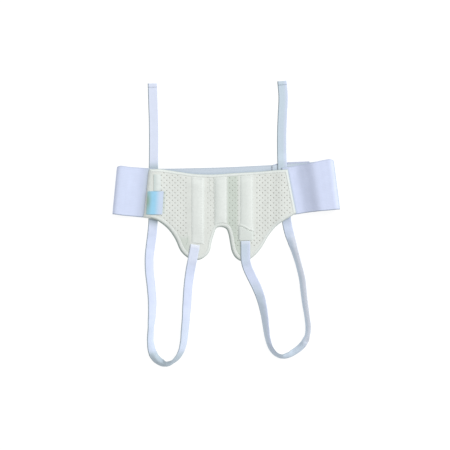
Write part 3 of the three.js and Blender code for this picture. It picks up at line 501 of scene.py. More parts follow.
def stitches(rows):
    """Points, quads, triangles and darkness of thread stitches along rows of (points, face normal,
    darkness), the darkness being painted shade of the seam's groove. Each is a six-sided spindle, pointed at
    both ends, that covers most of the way to the next one."""
    rows = [(line, np.broadcast_to(out, line.shape), dark) for line, out, dark in rows]
    centre = np.vstack([(line[1:] + line[:-1]) / 2 for line, _, _ in rows])
    along = np.vstack([line[1:] - line[:-1] for line, _, _ in rows])
    up = np.vstack([(out[1:] + out[:-1]) / 2 for _, out, _ in rows])
    pressed = np.concatenate([np.full(len(line) - 1, dark) for line, _, dark in rows])
    side = np.cross(along, up)
    side /= np.linalg.norm(side, axis=1)[:, None]
    up = np.cross(side, along)
    up /= np.linalg.norm(up, axis=1)[:, None]
    thick = bpy.context.scene.belt_detail.thread_width / MM / 2
    turn = (np.arange(STITCH_SIDES) * 2 * np.pi / STITCH_SIDES)[:, None]
    round_it = side[:, None] * np.cos(turn) + up[:, None] * 0.8 * np.sin(turn)
    rings = [(centre + along * place)[:, None] + thick * size * round_it for place, size in STITCH_RINGS]
    start, end = ((centre + along * place)[:, None] for place in (-STITCH_REACH, STITCH_REACH))
    each = np.concatenate([start, *rings, end], axis=1)
    per = each.shape[1]
    ring = 1 + np.arange(per - 2).reshape(-1, STITCH_SIDES)
    after = np.roll(ring, -1, axis=1)
    quads = np.stack([ring[:-1], after[:-1], after[1:], ring[1:]], axis=2).reshape(-1, 4)
    tips = np.vstack([np.column_stack([0 * ring[0], after[0], ring[0]]),
                      np.column_stack([0 * ring[0] + per - 1, ring[-1], after[-1]])])
    base = (np.arange(len(each)) * per)[:, None, None]
    quads, tips = (quads + base).reshape(-1, 4), (tips + base).reshape(-1, 3)
    return each.reshape(-1, 3), quads, tips, pressed.repeat(per)


# Materials
SHADE_BETWEEN_THREADS = 0.88


def add_node(tree, kind, inputs=None, **settings):
    """Adds a node of one kind, sets it up, and fills its inputs with values or with links."""
    made = tree.nodes.new(kind)
    for name, value in settings.items():
        setattr(made, name, value)
    for name, value in (inputs or {}).items():
        if isinstance(value, bpy.types.NodeSocket):
            tree.links.new(value, made.inputs[name])
        else:
            made.inputs[name].default_value = value
    return made


def wave_scale(pitch):
    """The Wave node's scale for bands of a pitch in millimetres: it turns by 20 times its scale."""
    return 2 * math.pi / (20 * pitch * MM)


def cloth_material(name, colour, roughness, pattern, stains=(), sheen=0.1):
    """A cloth in one of the belt's colours, darker between its threads: pattern(tree) gives the colour's
    brightness and the height, both as sockets, and that height in millimetres. Each stain is a point
    attribute and the colour that it mixes in."""
    material = bpy.data.materials.get(name)
    if material:
        return material
    material = bpy.data.materials.new(name)
    material.use_nodes = True
    tree = material.node_tree
    tree.nodes.clear()
    colour = getattr(bpy.context.scene.belt_colours, colour)
    bright, height, depth = pattern(tree)
    shown = (*(c * SHADE_BETWEEN_THREADS for c in colour), 1)
    layers = [(bright, tuple(colour))]
    for attribute, stain in stains:
        share = add_node(tree, "ShaderNodeAttribute", attribute_name=attribute).outputs["Fac"]
        layers.append((share, linear(stain)))
    for share, over in layers:
        shown = add_node(tree, "ShaderNodeMix", {"Factor": share, 6: shown, 7: (*over, 1)},
                         data_type="RGBA").outputs[2]
    bump = add_node(tree, "ShaderNodeBump", {"Strength": 1.0, "Distance": depth * MM, "Height": height})
    shader = add_node(tree, "ShaderNodeBsdfPrincipled", {
        "Base Color": shown, "Roughness": roughness, "Metallic": 0.0, "IOR": 1.5, "Specular IOR Level": 0.25,
        "Sheen Weight": sheen, "Sheen Roughness": 0.5, "Normal": bump.outputs["Normal"]})
    add_node(tree, "ShaderNodeOutputMaterial", {"Surface": shader.outputs[0]})
    return material


def woven(name, colour, roughness, waves, cloud, share, depth, stains, sheen=0.1):
    """A woven or knitted cloth. Its threads are waves of (pitch, distortion, direction) on its UV,
    multiplied. They stand up by depth, and a share of them is added to a cloud of (scale, detail)."""
    def pattern(tree):
        uv = add_node(tree, "ShaderNodeUVMap", uv_map="Cloth").outputs[0]
        threads = [
            add_node(tree, "ShaderNodeTexWave", {
                "Vector": uv, "Scale": wave_scale(pitch), "Distortion": distortion},
                bands_direction=direction).outputs["Fac"]
            for pitch, distortion, direction in waves]
        weave = threads[0]
        for other in threads[1:]:
            weave = add_node(tree, "ShaderNodeMath", {0: weave, 1: other}, operation="MULTIPLY").outputs[0]
        noise = add_node(tree, "ShaderNodeTexNoise", {"Vector": uv, "Scale": cloud[0], "Detail": cloud[1]})
        bright = add_node(tree, "ShaderNodeMath", {0: weave, 1: share, 2: noise.outputs["Fac"]},
                          operation="MULTIPLY_ADD")
        return bright.outputs[0], weave, depth
    return cloth_material(name, colour, roughness, pattern, stains, sheen)


def foam_fabric():
    """Knit-faced foam laminate, needle-perforated. A matt, faintly napped cream face with a fine
    knit at a pitch of 1.1 mm, coarser than the real 0.6 mm so that it shows. Its pits are darkened by
    painted shade with the warmer colour of what lies beneath, and painted shade greys its face in places."""
    def pattern(tree):
        place = add_node(tree, "ShaderNodeTexCoord").outputs["Object"]
        nap = add_node(tree, "ShaderNodeTexNoise", {"Vector": place, "Scale": 260.0, "Detail": 3.0})
        cloud = add_node(tree, "ShaderNodeTexNoise", {"Vector": place, "Scale": 40.0, "Detail": 2.0})
        knit = add_node(tree, "ShaderNodeTexWave", {
            "Vector": place, "Scale": wave_scale(1.1), "Distortion": 1.2}, bands_direction="DIAGONAL")
        soft, rough = (
            add_node(tree, "ShaderNodeMath", {0: fine.outputs["Fac"], 1: share, 2: under.outputs["Fac"]},
                     operation="MULTIPLY_ADD").outputs[0]
            for fine, share, under in ((nap, 0.7, cloud), (knit, 0.5, nap)))
        return soft, rough, 0.08
    return cloth_material("perforated_foam_laminate", "foam", 0.9, pattern,
                          [("shade", "#CFD8CF"), ("pit", "#BDB5A9")])


def tape_cloth():
    """Stretch knit tape, folded over an edge or sewn flat. Smooth and a little brighter than the
    foam's face, with fine ribs at 1.4 mm that run across the tape. Painted shade greys the strips on one side
    and darkens the binding's rim."""
    return woven("knit_binding_tape", "tape", 0.8, [(1.4, 0.8, "X")], (180.0, 3.0), 0.25, 0.05,
                 [("shade", "#CFD8D2"), ("rim", "#95A49F")])


def elastic_cloth():
    """Woven elastic, rib by rib along its length, cool lavender. Its ribs stand at the rib pitch
    and cross threads at 1.6 mm break them up. Its back face is greyer, and painted shade greys it by the
    panel and on the folds and darkens it along its edges."""
    pitch = bpy.context.scene.belt_detail.rib_pitch / MM
    return woven("woven_elastic", "elastic", 0.8, [(pitch, 0.3, "Y"), (1.6, 0.6, "X")], (45.0, 4.0), 0.35,
                 0.15, [("lining", "#CDD8E4"), ("shade", "#B4C2D0"), ("selvedge", "#909CAC")])


def webbing_cloth():
    """Soft woven webbing, brushed. A close weave of 1.8 mm along by 1.5 mm across, with a slight
    sheen and cloudy wear. Painted shade greys it and darkens its edges, and painted light whitens it."""
    return woven("woven_webbing", "webbing", 0.8, [(1.8, 0.5, "X"), (1.5, 0.5, "Y")], (60.0, 4.0), 0.4, 0.12,
                 [("reverse", "#C9D8E4"), ("hem", "#EDF3FF"), ("selvedge", "#8A989F")])


def satin_label(name, colour, stains):
    """Woven satin label: smooth, with a soft shine and warp threads at 0.8 mm."""
    return woven(name, colour, 0.45, [(0.8, 0.4, "X")], (90.0, 2.0), 0.2, 0.03, stains, sheen=0)


def hook_tape():
    """Nylon hook tape: rows of small stiff hooks at 1.7 mm, slightly glossy."""
    def pattern(tree):
        uv = add_node(tree, "ShaderNodeUVMap", uv_map="Cloth").outputs[0]
        hooks = add_node(tree, "ShaderNodeTexVoronoi", {
            "Vector": uv, "Scale": 1 / (1.7 * MM), "Randomness": 0.35})
        return hooks.outputs["Distance"], hooks.outputs["Distance"], -0.5
    return cloth_material("nylon_hook_tape", "hook", 0.5, pattern, sheen=0)


def sewing_thread():
    """Spun polyester sewing thread: off-white, twisted at 0.7 mm, and darkened by painted shade where its
    seam sinks into the cloth.
    """
    def pattern(tree):
        place = add_node(tree, "ShaderNodeTexCoord").outputs["Object"]
        twist = add_node(tree, "ShaderNodeTexWave", {"Vector": place, "Scale": wave_scale(0.7)},
                         bands_direction="DIAGONAL").outputs["Fac"]
        return twist, twist, 0.05
    return cloth_material("polyester_thread", "thread", 0.6, pattern, [("pressed", "#A7B3AA")])


# Pieces
def stitch_pitch():
    """The distance from stitch to stitch in millimetres."""
    return bpy.context.scene.belt_detail.stitch_pitch / MM


def bound_edge(x, low, high, reach):
    """Height up the belt of the binding's inner edge, from the part of it that lies between two
    heights and within a reach of the panel's centre."""
    ring = OUTLINE + INWARD * (BINDING_WIDTH + GAP)
    ring = ring[(ring[:, 1] > low) & (ring[:, 1] < high) & (np.abs(ring[:, 0] - PANEL_CENTRE_X) < reach)]
    ring = ring[ring[:, 0].argsort()]
    return np.interp(x, ring[:, 0], ring[:, 1])


def strip_line(name, rows, share):
    """Points at shares of the way across a strip, on a broken line given as shares of its width and
    of the lobes' drop."""
    line = [(mix(*panel_x(STRIPS[name]), out), -down * LOBE_DROP) for out, down in rows]
    return points_along(line, share, shares=True)


def strip_plan(name, waist=None):
    """The plan of a strip as a grid: rows run from its top to its lower end, which is a broken
    line. A strip with a waist runs straight to it and from there flares to its end."""
    left, right = panel_x(STRIPS[name])
    width = right - left
    share = across_places(width, 19) / width
    x = left + share * width
    foot = strip_line(name, STRIP_ENDS[name], share)
    top = np.column_stack([x, bound_edge(x, 0.6 * PANEL_TOP_RISE, BAND_WIDTH, 0.8 * PANEL_HALF_WIDTH)])
    if name == "centre":
        foot[:, 1] = np.maximum(foot[:, 1], bound_edge(foot[:, 0], -0.85 * LOBE_DROP, -0.3 * LOBE_DROP, 34))
    length = top[:, 1].mean() - foot[:, 1].mean()
    v = (across_places(length, round(length / 1.3)) / length)[:, None, None]
    if waist is None:
        return mix(top[None], foot[None], v)
    knee = np.column_stack([x, -mix(*waist, share) * LOBE_DROP])
    straight = mix(top[None], knee[None], np.clip(v / WAIST_PLACE, 0, 1))
    return straight + (foot - knee)[None] * np.clip((v - WAIST_PLACE) / (1 - WAIST_PLACE), 0, 1)


def sew_on(name, node, plan, relief, shade, seams, dark):
    """A closed sheet sewn on the panel over a plan, with a seam down it at each share of its width. Its
    thickness is relief of the distances in millimetres across, along, from its sides and from its
    ends, and shade of the share of the way across gives how grey it is: painted shade on the strips,
    an even grey on the patch. Its UV runs along and across it."""
    steps_x, steps_y = (np.linalg.norm(np.diff(plan, axis=axis), axis=2) for axis in (1, 0))
    across = np.concatenate([np.zeros((len(plan), 1)), np.cumsum(steps_x, axis=1)], axis=1)
    along = np.concatenate([np.zeros((1, plan.shape[1])), np.cumsum(steps_y, axis=0)])
    side = np.minimum(across, across[:, -1:] - across)
    ends = np.minimum(along, along[-1:] - along)
    _, top = panel_layers(plan[..., 0], plan[..., 1])
    edge = np.minimum(smooth((side + 0.5) / 4.5), rounded(ends, 1.2))
    upper = np.dstack([plan, top + 0.2 * GAP + (GAP + relief(across, along, side, ends)) * edge])
    points, quads = shell(upper, np.dstack([plan, top + 0.1 * GAP]))
    uv = np.column_stack([along.ravel(), across.ravel()])
    length, width = uv.max(axis=0)
    uv = np.vstack([uv, uv])
    cloth = make_piece(name, points, quads, tape_cloth(), [node], uv,
                       {"shade": shade(uv[:, 1] / width)})
    for share in seams:
        at = share * (upper.shape[1] - 1)
        line = mix(upper[:, int(at)], upper[:, int(at) + 1], at - int(at))
        SEAMS.append((points_along(line, np.arange(1.5, run_of(line)[-1] - 1.5, stitch_pitch())), UP, dark))


class BELT_OT_front_panel(Operator):
    """Makes the perforated foam panel with its two lobes"""
    bl_idname = "belt.front_panel"
    bl_label = "Front Panel"

    def execute(self, context):
        detail = context.scene.belt_detail
        step_x, step_y = detail.hole_pitch_across / MM / 2, detail.hole_pitch_along / MM / 4
        low, high = OUTLINE.min(axis=0), OUTLINE.max(axis=0)
        tiles_x = int(np.ceil((high[0] - low[0]) / step_x / 2)) + 2
        tiles_y = int(np.ceil((high[1] - low[1]) / step_y / 2)) + 2
        across, up = 2 * tiles_x + 1, 2 * tiles_y + 1
        j, i = np.meshgrid(np.arange(up), np.arange(across), indexing="ij")
        x = low[0] - step_x + i.ravel() * step_x
        y = low[1] - step_y + j.ravel() * step_y
        depth, near = nearest_on_outline(x, y)
        # A cell is kept where all its corners lie inside, and the rim's points go to one depth
        inside = (depth > FOAM_RIM_DEPTH * 0.6).reshape(up, across)
        kept = inside[:-1, :-1] & inside[1:, :-1] & inside[:-1, 1:] & inside[1:, 1:]
        cells = grid_quads(up, across)
        quads = cells[kept.ravel()]
        used = np.bincount(quads.ravel(), minlength=len(x))
        edge = (used > 0) & (used < 4)
        plan = np.column_stack([x, y])
        plan[edge] = (near + (plan - near) * (FOAM_RIM_DEPTH / np.maximum(depth, 0.3))[:, None])[edge]
        # A hole stands in every other tile of two by two cells, clear of the binding and the strips
        tj, ti = (each.ravel() for each in np.meshgrid(np.arange(tiles_y), np.arange(tiles_x), indexing="ij"))
        whole = np.all([kept[2 * tj + dj, 2 * ti + di] for dj in (0, 1) for di in (0, 1)], axis=0)
        centre = (2 * tj + 1) * across + 2 * ti + 1
        cx, cy = plan[centre].T
        holed = whole & ((ti + tj) % 2 == 0) & (depth[centre] > BINDING_WIDTH + 0.6)
        holed &= (cx > panel_x(CARE_LABEL["right"]) - 0.5) & (cy > np.where(cx < 0, *LOBE_HOLES_END))
        for name, (before, after) in HOLE_MARGINS.items():
            left, right = panel_x(STRIPS[name])
            lowest = -max(down for _, down in STRIP_ENDS[name]) * LOBE_DROP
            holed &= ~((cx > left - before) & (cx < right + after) & (cy > lowest))
        ti, tj, cx, cy = (each[holed] for each in (ti, tj, cx, cy))
        loop = np.array([(0, 0), (1, 0), (2, 0), (2, 1), (2, 2), (1, 2), (0, 2), (0, 1)])
        outer = (2 * tj[:, None] + loop[:, 1]) * across + 2 * ti[:, None] + loop[:, 0]
        # A hole has rings of points and one at its bottom, and is pressed flatter between the strips, where
        # its painted shade is lighter too
        size, sunk, dark = np.array(HOLE_RINGS).T[..., None]
        turn = np.radians(225 + 360 / HOLE_SIDES * np.arange(HOLE_SIDES))
        radius = detail.hole_width / MM / 2
        open_share = 1 - 0.55 * bell(cx + 33, 14) - 0.35 * bell(cx - 18, 16)
        ring_x = cx[:, None, None] + radius * size * np.cos(turn)
        ring_y = cy[:, None, None] + radius * size * np.sin(turn)
        sink, pit = (open_share[:, None, None] * each + 0 * turn for each in (sunk, dark))
        base = len(x)
        all_x = np.concatenate([plan[:, 0], ring_x.ravel(), cx])
        all_y = np.concatenate([plan[:, 1], ring_y.ravel(), cy])
        all_sink = np.concatenate([np.zeros(base), sink.ravel(), HOLE_DEPTH * open_share])
        middle, top = panel_layers(all_x, all_y)
        upper = np.column_stack([all_x, all_y, top - all_sink])
        points = np.vstack([upper, np.column_stack([plan, (2 * middle - top)[:base]])])
        pit = np.concatenate([np.zeros(base), pit.ravel(), open_share, np.zeros(base)])
        # Quads join each ring to the next, and triangles join the last one to the bottom
        rings = [outer, *(base + np.arange(ring_x.size).reshape(ring_x.shape)).transpose(1, 0, 2)]
        bands = [np.stack([a, np.roll(a, -1, 1), np.roll(b, -1, 1), b], axis=2).reshape(-1, 4)
                 for a, b in zip(rings, rings[1:])]
        bottom = np.broadcast_to(base + ring_x.size + np.arange(len(cx))[:, None], rings[-1].shape)
        caps = np.stack([rings[-1], np.roll(rings[-1], -1, 1), bottom], axis=2).reshape(-1, 3)
        plain = kept.copy()
        plain[2 * tj[:, None] + [0, 0, 1, 1], 2 * ti[:, None] + [0, 1, 0, 1]] = False
        below = len(upper)
        faces = np.vstack([cells[plain.ravel()], *bands, quads[:, ::-1] + below, walls(quads, below)])
        # Points that no face uses are dropped
        live = np.zeros(len(points), bool)
        live[faces] = True
        live[caps] = True
        number = np.cumsum(live) - 1
        points = points[live]
        panel = make_piece("panel_foam", points, number[faces], foam_fabric(), ["front_panel"],
                           None, {"pit": pit[live], "shade": panel_shade(*points[:, :2].T)}, number[caps])
        for corners in PANEL_SEAMS:
            x, y = points_along(corners, even_places(run_of(corners)[-1], stitch_pitch())).T
            SEAMS.append((np.column_stack([x, y, panel_layers(x, y)[1]]), UP, 0.9))
        return {"FINISHED"}


class BELT_OT_edge_binding(Operator):
    """Makes the knit tape folded over the panel's edge"""
    bl_idname = "belt.edge_binding"
    bl_label = "Edge Binding"

    def execute(self, context):
        outer = RIM_THICK / 2
        depth, height = np.array([*((d, outer + h) for d, h in BINDING_FACE), *BINDING_LINING]).T
        # The rim rolls out further where it faces away from the light, along the lobes and the left end
        left_end = OUTLINE[:, 0] < panel_x(-0.97)
        facing = np.clip(-(INWARD @ AWAY) / np.linalg.norm(INWARD, axis=1), 0, 1)
        facing = facing * np.maximum(smooth((-45 - OUTLINE[:, 1]) / 15), left_end)
        spread = depth[None] - BINDING_ROLL * facing[:, None] * (1 - depth[None] / BINDING_WIDTH)
        ring = OUTLINE[:, None] + INWARD[:, None] * spread[..., None]
        middle, _ = panel_layers(*(OUTLINE[:, None] + INWARD[:, None] * depth[:, None]).transpose(2, 0, 1))
        run = run_of(np.vstack([OUTLINE, OUTLINE[:1]]))
        pucker = 0.1 * np.sin(run[:-1, None] * 2 * np.pi / 6.2) * bell(depth - 3.4, 1.6) * (height > 0)
        points = np.dstack([ring, middle + height + pucker])
        at = np.arange(points[..., 0].size).reshape(points.shape[:2])
        ahead = np.roll(at, -1, axis=0)
        quads = np.stack([at, np.roll(at, -1, 1), np.roll(ahead, -1, 1), ahead], axis=2).reshape(-1, 4)
        points = points.reshape(-1, 3)
        a, b, c, d = (points[quads[:, n]] for n in range(4))
        if (a * (np.cross(b, c) + np.cross(c, d))).sum() < 0:
            quads = quads[:, ::-1]
        uv = sheet_uv(run[:-1], run_of(np.column_stack([depth, height])))[:len(points)]
        # Painted shade darkens the rim's outer side, most where it faces away from the light, and the left
        # end's binding is only a little greyer all over
        strength = (0.4 + 0.55 * facing) * np.where(left_end, 0.1, 1)
        grey = (1 - smooth((depth - 0.3) / 3.3))[None] * strength[:, None]
        grey = np.maximum(grey, 0.15 * left_end[:, None]).ravel()
        binding = make_piece("binding_tape", points, quads, tape_cloth(), ["edge_binding"],
                             uv, {"rim": grey})
        for sign in (1, -1):
            line = OUTLINE + INWARD * BINDING_SEAM
            line = np.column_stack([line, panel_layers(*line.T)[0] + sign * (outer - 0.14)])
            line = np.vstack([line, line[:1]])
            SEAMS.append((points_along(line, even_places(run_of(line)[-1], stitch_pitch())), UP * sign, 0.2))
        return {"FINISHED"}


class BELT_OT_sewn_strips(Operator):
    """Makes the three strips down the panel and the patch under the right one"""
    bl_idname = "belt.sewn_strips"
    bl_label = "Sewn Strips"

    def execute(self, context):
        def plain(across, along, side, ends):
            """The tape's thickness, crowned by a half sine across it and pressed in along its seams."""
            crown = 0.45 + 0.15 * np.sin(np.pi * across / across[:, -1:])
            return STRIP_THICK * crown - 0.1 * bell(side - 3, 0.8)

        def scalloped(across, along, side, ends):
            """Plain tape with a lap by its right side that swells as a sine along it."""
            lap = bell(across[:, -1:] - across - 4.5, 3.2)
            return plain(across, along, side, ends) + lap * 0.45 * np.abs(np.sin(np.pi * along / 5.2))

        def folded_end(across, along, side, ends):
            """Plain tape with a bell-shaped fold across its lower end."""
            return plain(across, along, side, ends) + 0.7 * bell(along[-1:] - along - 2.6, 1.9)

        def pressed(across, along, side, ends):
            """An even thickness, pressed in by a bell-shaped groove along the seam round it."""
            return STRIP_THICK * 0.8 - 0.25 * bell(np.minimum(side, ends) - 2.2, 0.7)

        # The strips are greyed by painted shade towards their left side, away from the light
        for name, relief, waist in (("left", scalloped, None), ("centre", plain, None),
                                    ("right", folded_end, RIGHT_STRIP_WAIST)):
            sew_on(f"strip_{name}_tape", f"strip_{name}", strip_plan(name, waist), relief,
                   lambda share: STRIP_SHADE[name] * (1 - smooth(share / 0.75)), (0.12, 0.88), 0.1)
        share = across_places(1, 25, 0.03)
        top, foot = (strip_line("right", rows, share) for rows in (PATCH_HEAD, PATCH_FOOT))
        plan = mix(top[None], foot[None], across_places(1, 22, 0.04)[:, None, None])
        sew_on("anchor_patch_cloth", "anchor_patch", plan, pressed, lambda share: 0 * share + 0.35,
               (0.08, 0.92), 0.5)
        return {"FINISHED"}


def band_surface(rows, reach, fold, levels):
    """The middle layer of a band as a grid, with its normals, its places across and its length. Each row
    gives a point of the upper and of the lower edge, a spline joins each row of points, and straight
    lines join both edges."""
    out, rise, top, foot, lean = np.array(rows, float).T
    height = np.repeat(*zip(*levels)) + rise * fold
    upper = np.column_stack([out * reach + lean * BAND_WIDTH / 2, top * BAND_WIDTH, height])
    lower = np.column_stack([out * reach - lean * BAND_WIDTH / 2, -foot * BAND_WIDTH, height])
    fine = np.linspace(0, 1, 4000)
    run = run_of((curve(upper, fine) + curve(lower, fine)) / 2)
    t = np.interp(even_places(run[-1], 2.6), run, fine)
    top_edge, foot_edge = curve(upper, t), curve(lower, t)
    top_edge[:, 2] = np.maximum(top_edge[:, 2], FLOOR_MID)
    foot_edge[:, 2] = np.maximum(foot_edge[:, 2], FLOOR_MID)
    foot_edge[:, 1] -= BAND_ROLL
    width = np.linalg.norm(top_edge - foot_edge, axis=1).mean()
    across = across_places(width, 117, 0.9)
    middle = mix(top_edge[:, None], foot_edge[:, None], (across / width)[None, :, None])
    slope = np.gradient((top_edge + foot_edge) / 2, axis=0)
    normal = np.column_stack([-slope[:, 2], np.zeros(len(t)), slope[:, 0]])
    normal /= np.linalg.norm(normal, axis=1)[:, None]
    return middle, normal, across, run[-1]


class BELT_OT_side_bands(Operator):
    """Makes the two wide elastic bands that fold round to the back"""
    bl_idname = "belt.side_bands"
    bl_label = "Side Bands"

    def execute(self, context):
        detail = context.scene.belt_detail

        def groove(place, relief, pitch):
            """How far ribs sink between their crests: half the relief less its cosine."""
            return relief - relief * (0.5 + 0.5 * np.cos(2 * np.pi * place / pitch))

        for name, *shape in (
                ("left", LEFT_BAND, LEFT_REACH, LEFT_FOLD_HEIGHT, LEFT_LEVELS),
                ("right", RIGHT_BAND, RIGHT_REACH, RIGHT_FOLD_HEIGHT, RIGHT_LEVELS)):
            by_panel, on_fold, least, greyness = BAND_LOOKS[name]
            middle, normal, across, length = band_surface(*shape)
            side = np.minimum(across, across[-1] - across)
            # The elastic is as thick as its ribs leave it, and rounded off at both edges
            low = np.where(side < BORDER_WIDTH, groove(side, BORDER_RELIEF, BORDER_PITCH),
                           groove(across, detail.rib_relief / MM, detail.rib_pitch / MM))
            half = (BAND_THICK / 2 - low) * (0.15 + 0.85 * rounded(side, 2.2))
            lift = normal[:, None] * half[None, :, None]
            points, quads = shell(middle + lift, middle - lift)
            uv = sheet_uv(np.linspace(0, length, len(middle)), across)
            inner_face = np.repeat([1.0, 0.0] if name == "left" else [0.0, 1.0], len(uv) // 2)
            # Painted shade beside the panel, on the folds, a little all over the left band, and darker along
            # the edges, most the lower one. The back face is greyer, and by the panel that grey is painted
            # shade too.
            outside = np.minimum(nearest_on_outline(*points[:, :2].T)[0], 0)
            near = bell(outside, mix(2.2, 5.0, inner_face)) * mix(by_panel, 0.55, inner_face)
            edge = (1 - smooth(side / 3.0)) * np.where(across < across[-1] / 2, 0.4, 0.95)
            turn = np.maximum(smooth((np.abs(normal[:, 0]) - 0.55) / 0.4) * on_fold, least)
            values = {"lining": np.maximum(inner_face, greyness * bell(outside, 9)),
                      "shade": np.maximum(near, np.tile(np.repeat(turn, len(across)), 2)),
                      "selvedge": np.tile(edge, 2 * len(middle))}
            band = make_piece(f"band_{name}_elastic", points, quads, elastic_cloth(),
                              [f"side_band_{name}"], uv, values)
        return {"FINISHED"}


class BELT_OT_hook_tab(Operator):
    """Makes the hook tape that closes the bands at the back"""
    bl_idname = "belt.hook_tab"
    bl_label = "Hook Tab"

    def execute(self, context):
        places, top, foot = np.array(TAB_ROWS, float).T
        along = across_places(TAB_LENGTH, 42)
        high = np.interp(along / TAB_LENGTH, places, top) * BAND_WIDTH
        low = -np.interp(along / TAB_LENGTH, places, foot) * BAND_WIDTH
        across = across_places(1, 52, 0.01)
        y = mix(high[:, None], low[:, None], across[None])
        x = np.broadcast_to(BAND_JOIN_X + along[:, None], y.shape)
        side = np.minimum(across * 105, (1 - across) * 105)[None]
        edge = np.minimum(rounded(side, 0.8), rounded(np.minimum(along, TAB_LENGTH - along), 0.8)[:, None])
        # An even sheet between two edge lines, thinned in a quarter round along its border
        rise = BAND_THICK / 2 * (0.4 + 0.6 * edge)
        points, quads = shell(np.dstack([x, y, FLOOR_MID + rise]), np.dstack([x, y, FLOOR_MID - rise]))
        tab = make_piece("hook_tab_tape", points, quads, hook_tape(), ["hook_tab"],
                         points[:, :2])
        return {"FINISHED"}


def strap_surface(rows, anchor, loop, inner_side, layers):
    """A function of places along and across a strap that gives the points of its under face, and the
    vectors out of its upper face. The plan is a spline, seats and tilts are eased from row to row, and
    the tilt turns from the outer half's to the inner half's over the crease between them."""
    across, down, inner, outer = np.array([(row + row[-1:])[:4] for row in rows], float).T
    width, depth, tail_length = loop
    drop = np.where(down > 0, down * depth, down * tail_length)
    plan = np.column_stack([anchor[0] + across * width, anchor[1] - drop])
    middle, _ = panel_layers(*plan.T)
    seat = np.where((-down > ON_BANDS[0]) & (-down < ON_BANDS[1]), layers * BAND_STEP, 0)
    seat[:len(ON_LOBE)] = (middle[:len(ON_LOBE)] + RIM_THICK / 2 + 2 * GAP) * ON_LOBE
    fine = np.linspace(0, 1, 6000)
    run = run_of(curve(plan, fine))

    def at(places, spots):
        """The section is the running sum of the cosine and sine of the tilt across the strap, with an
        arch added, and its lowest point stands on the seat."""
        t = np.interp(places, run, fine)
        slope = curve(plan, t + 1e-4) - curve(plan, t - 1e-4)
        slope /= np.linalg.norm(slope, axis=1)[:, None]
        row = np.minimum((t * (len(rows) - 1)).astype(int), len(rows) - 2)
        w = smooth(t * (len(rows) - 1) - row)
        ease = lambda values: mix(values[row], values[row + 1], w)[:, None]
        fine_spots = np.linspace(0, STRAP_WIDTH, STRAP_SPOTS + 1)
        turn = smooth((fine_spots - STRAP_WIDTH / 2 + CREASE_WIDTH) / (2 * CREASE_WIDTH))
        lean = np.abs(ease(outer) + ease(inner)) / 2
        arch = np.minimum(0.45 * lean, 85 - lean) * (1 - 2 * fine_spots / STRAP_WIDTH)[None]
        tilt = np.radians(mix(ease(outer), ease(inner), turn[None]) + arch)
        halfway = (tilt[:, 1:] + tilt[:, :-1]) / 2
        part = STRAP_WIDTH / STRAP_SPOTS
        inwards, height = (np.pad(np.cumsum(step * part, axis=1), ((0, 0), (1, 0)))
                           for step in (np.cos(halfway), np.sin(halfway)))
        inwards -= inwards[:, -1:] / 2
        height += ease(seat) - height.min(axis=1, keepdims=True)
        cell = np.clip(spots / part, 0, STRAP_SPOTS - 0.001)
        i = cell.astype(int)
        pick = lambda values: mix(values[:, i], values[:, i + 1], (cell - i)[None])[..., None]
        side = np.column_stack([-slope[:, 1], slope[:, 0], 0 * t])[:, None] * inner_side
        points = np.column_stack([curve(plan, t), 0 * t])[:, None] + side * pick(inwards) + UP * pick(height)
        return points, UP * np.cos(pick(tilt)) - side * np.sin(pick(tilt))

    return at, run[-1]


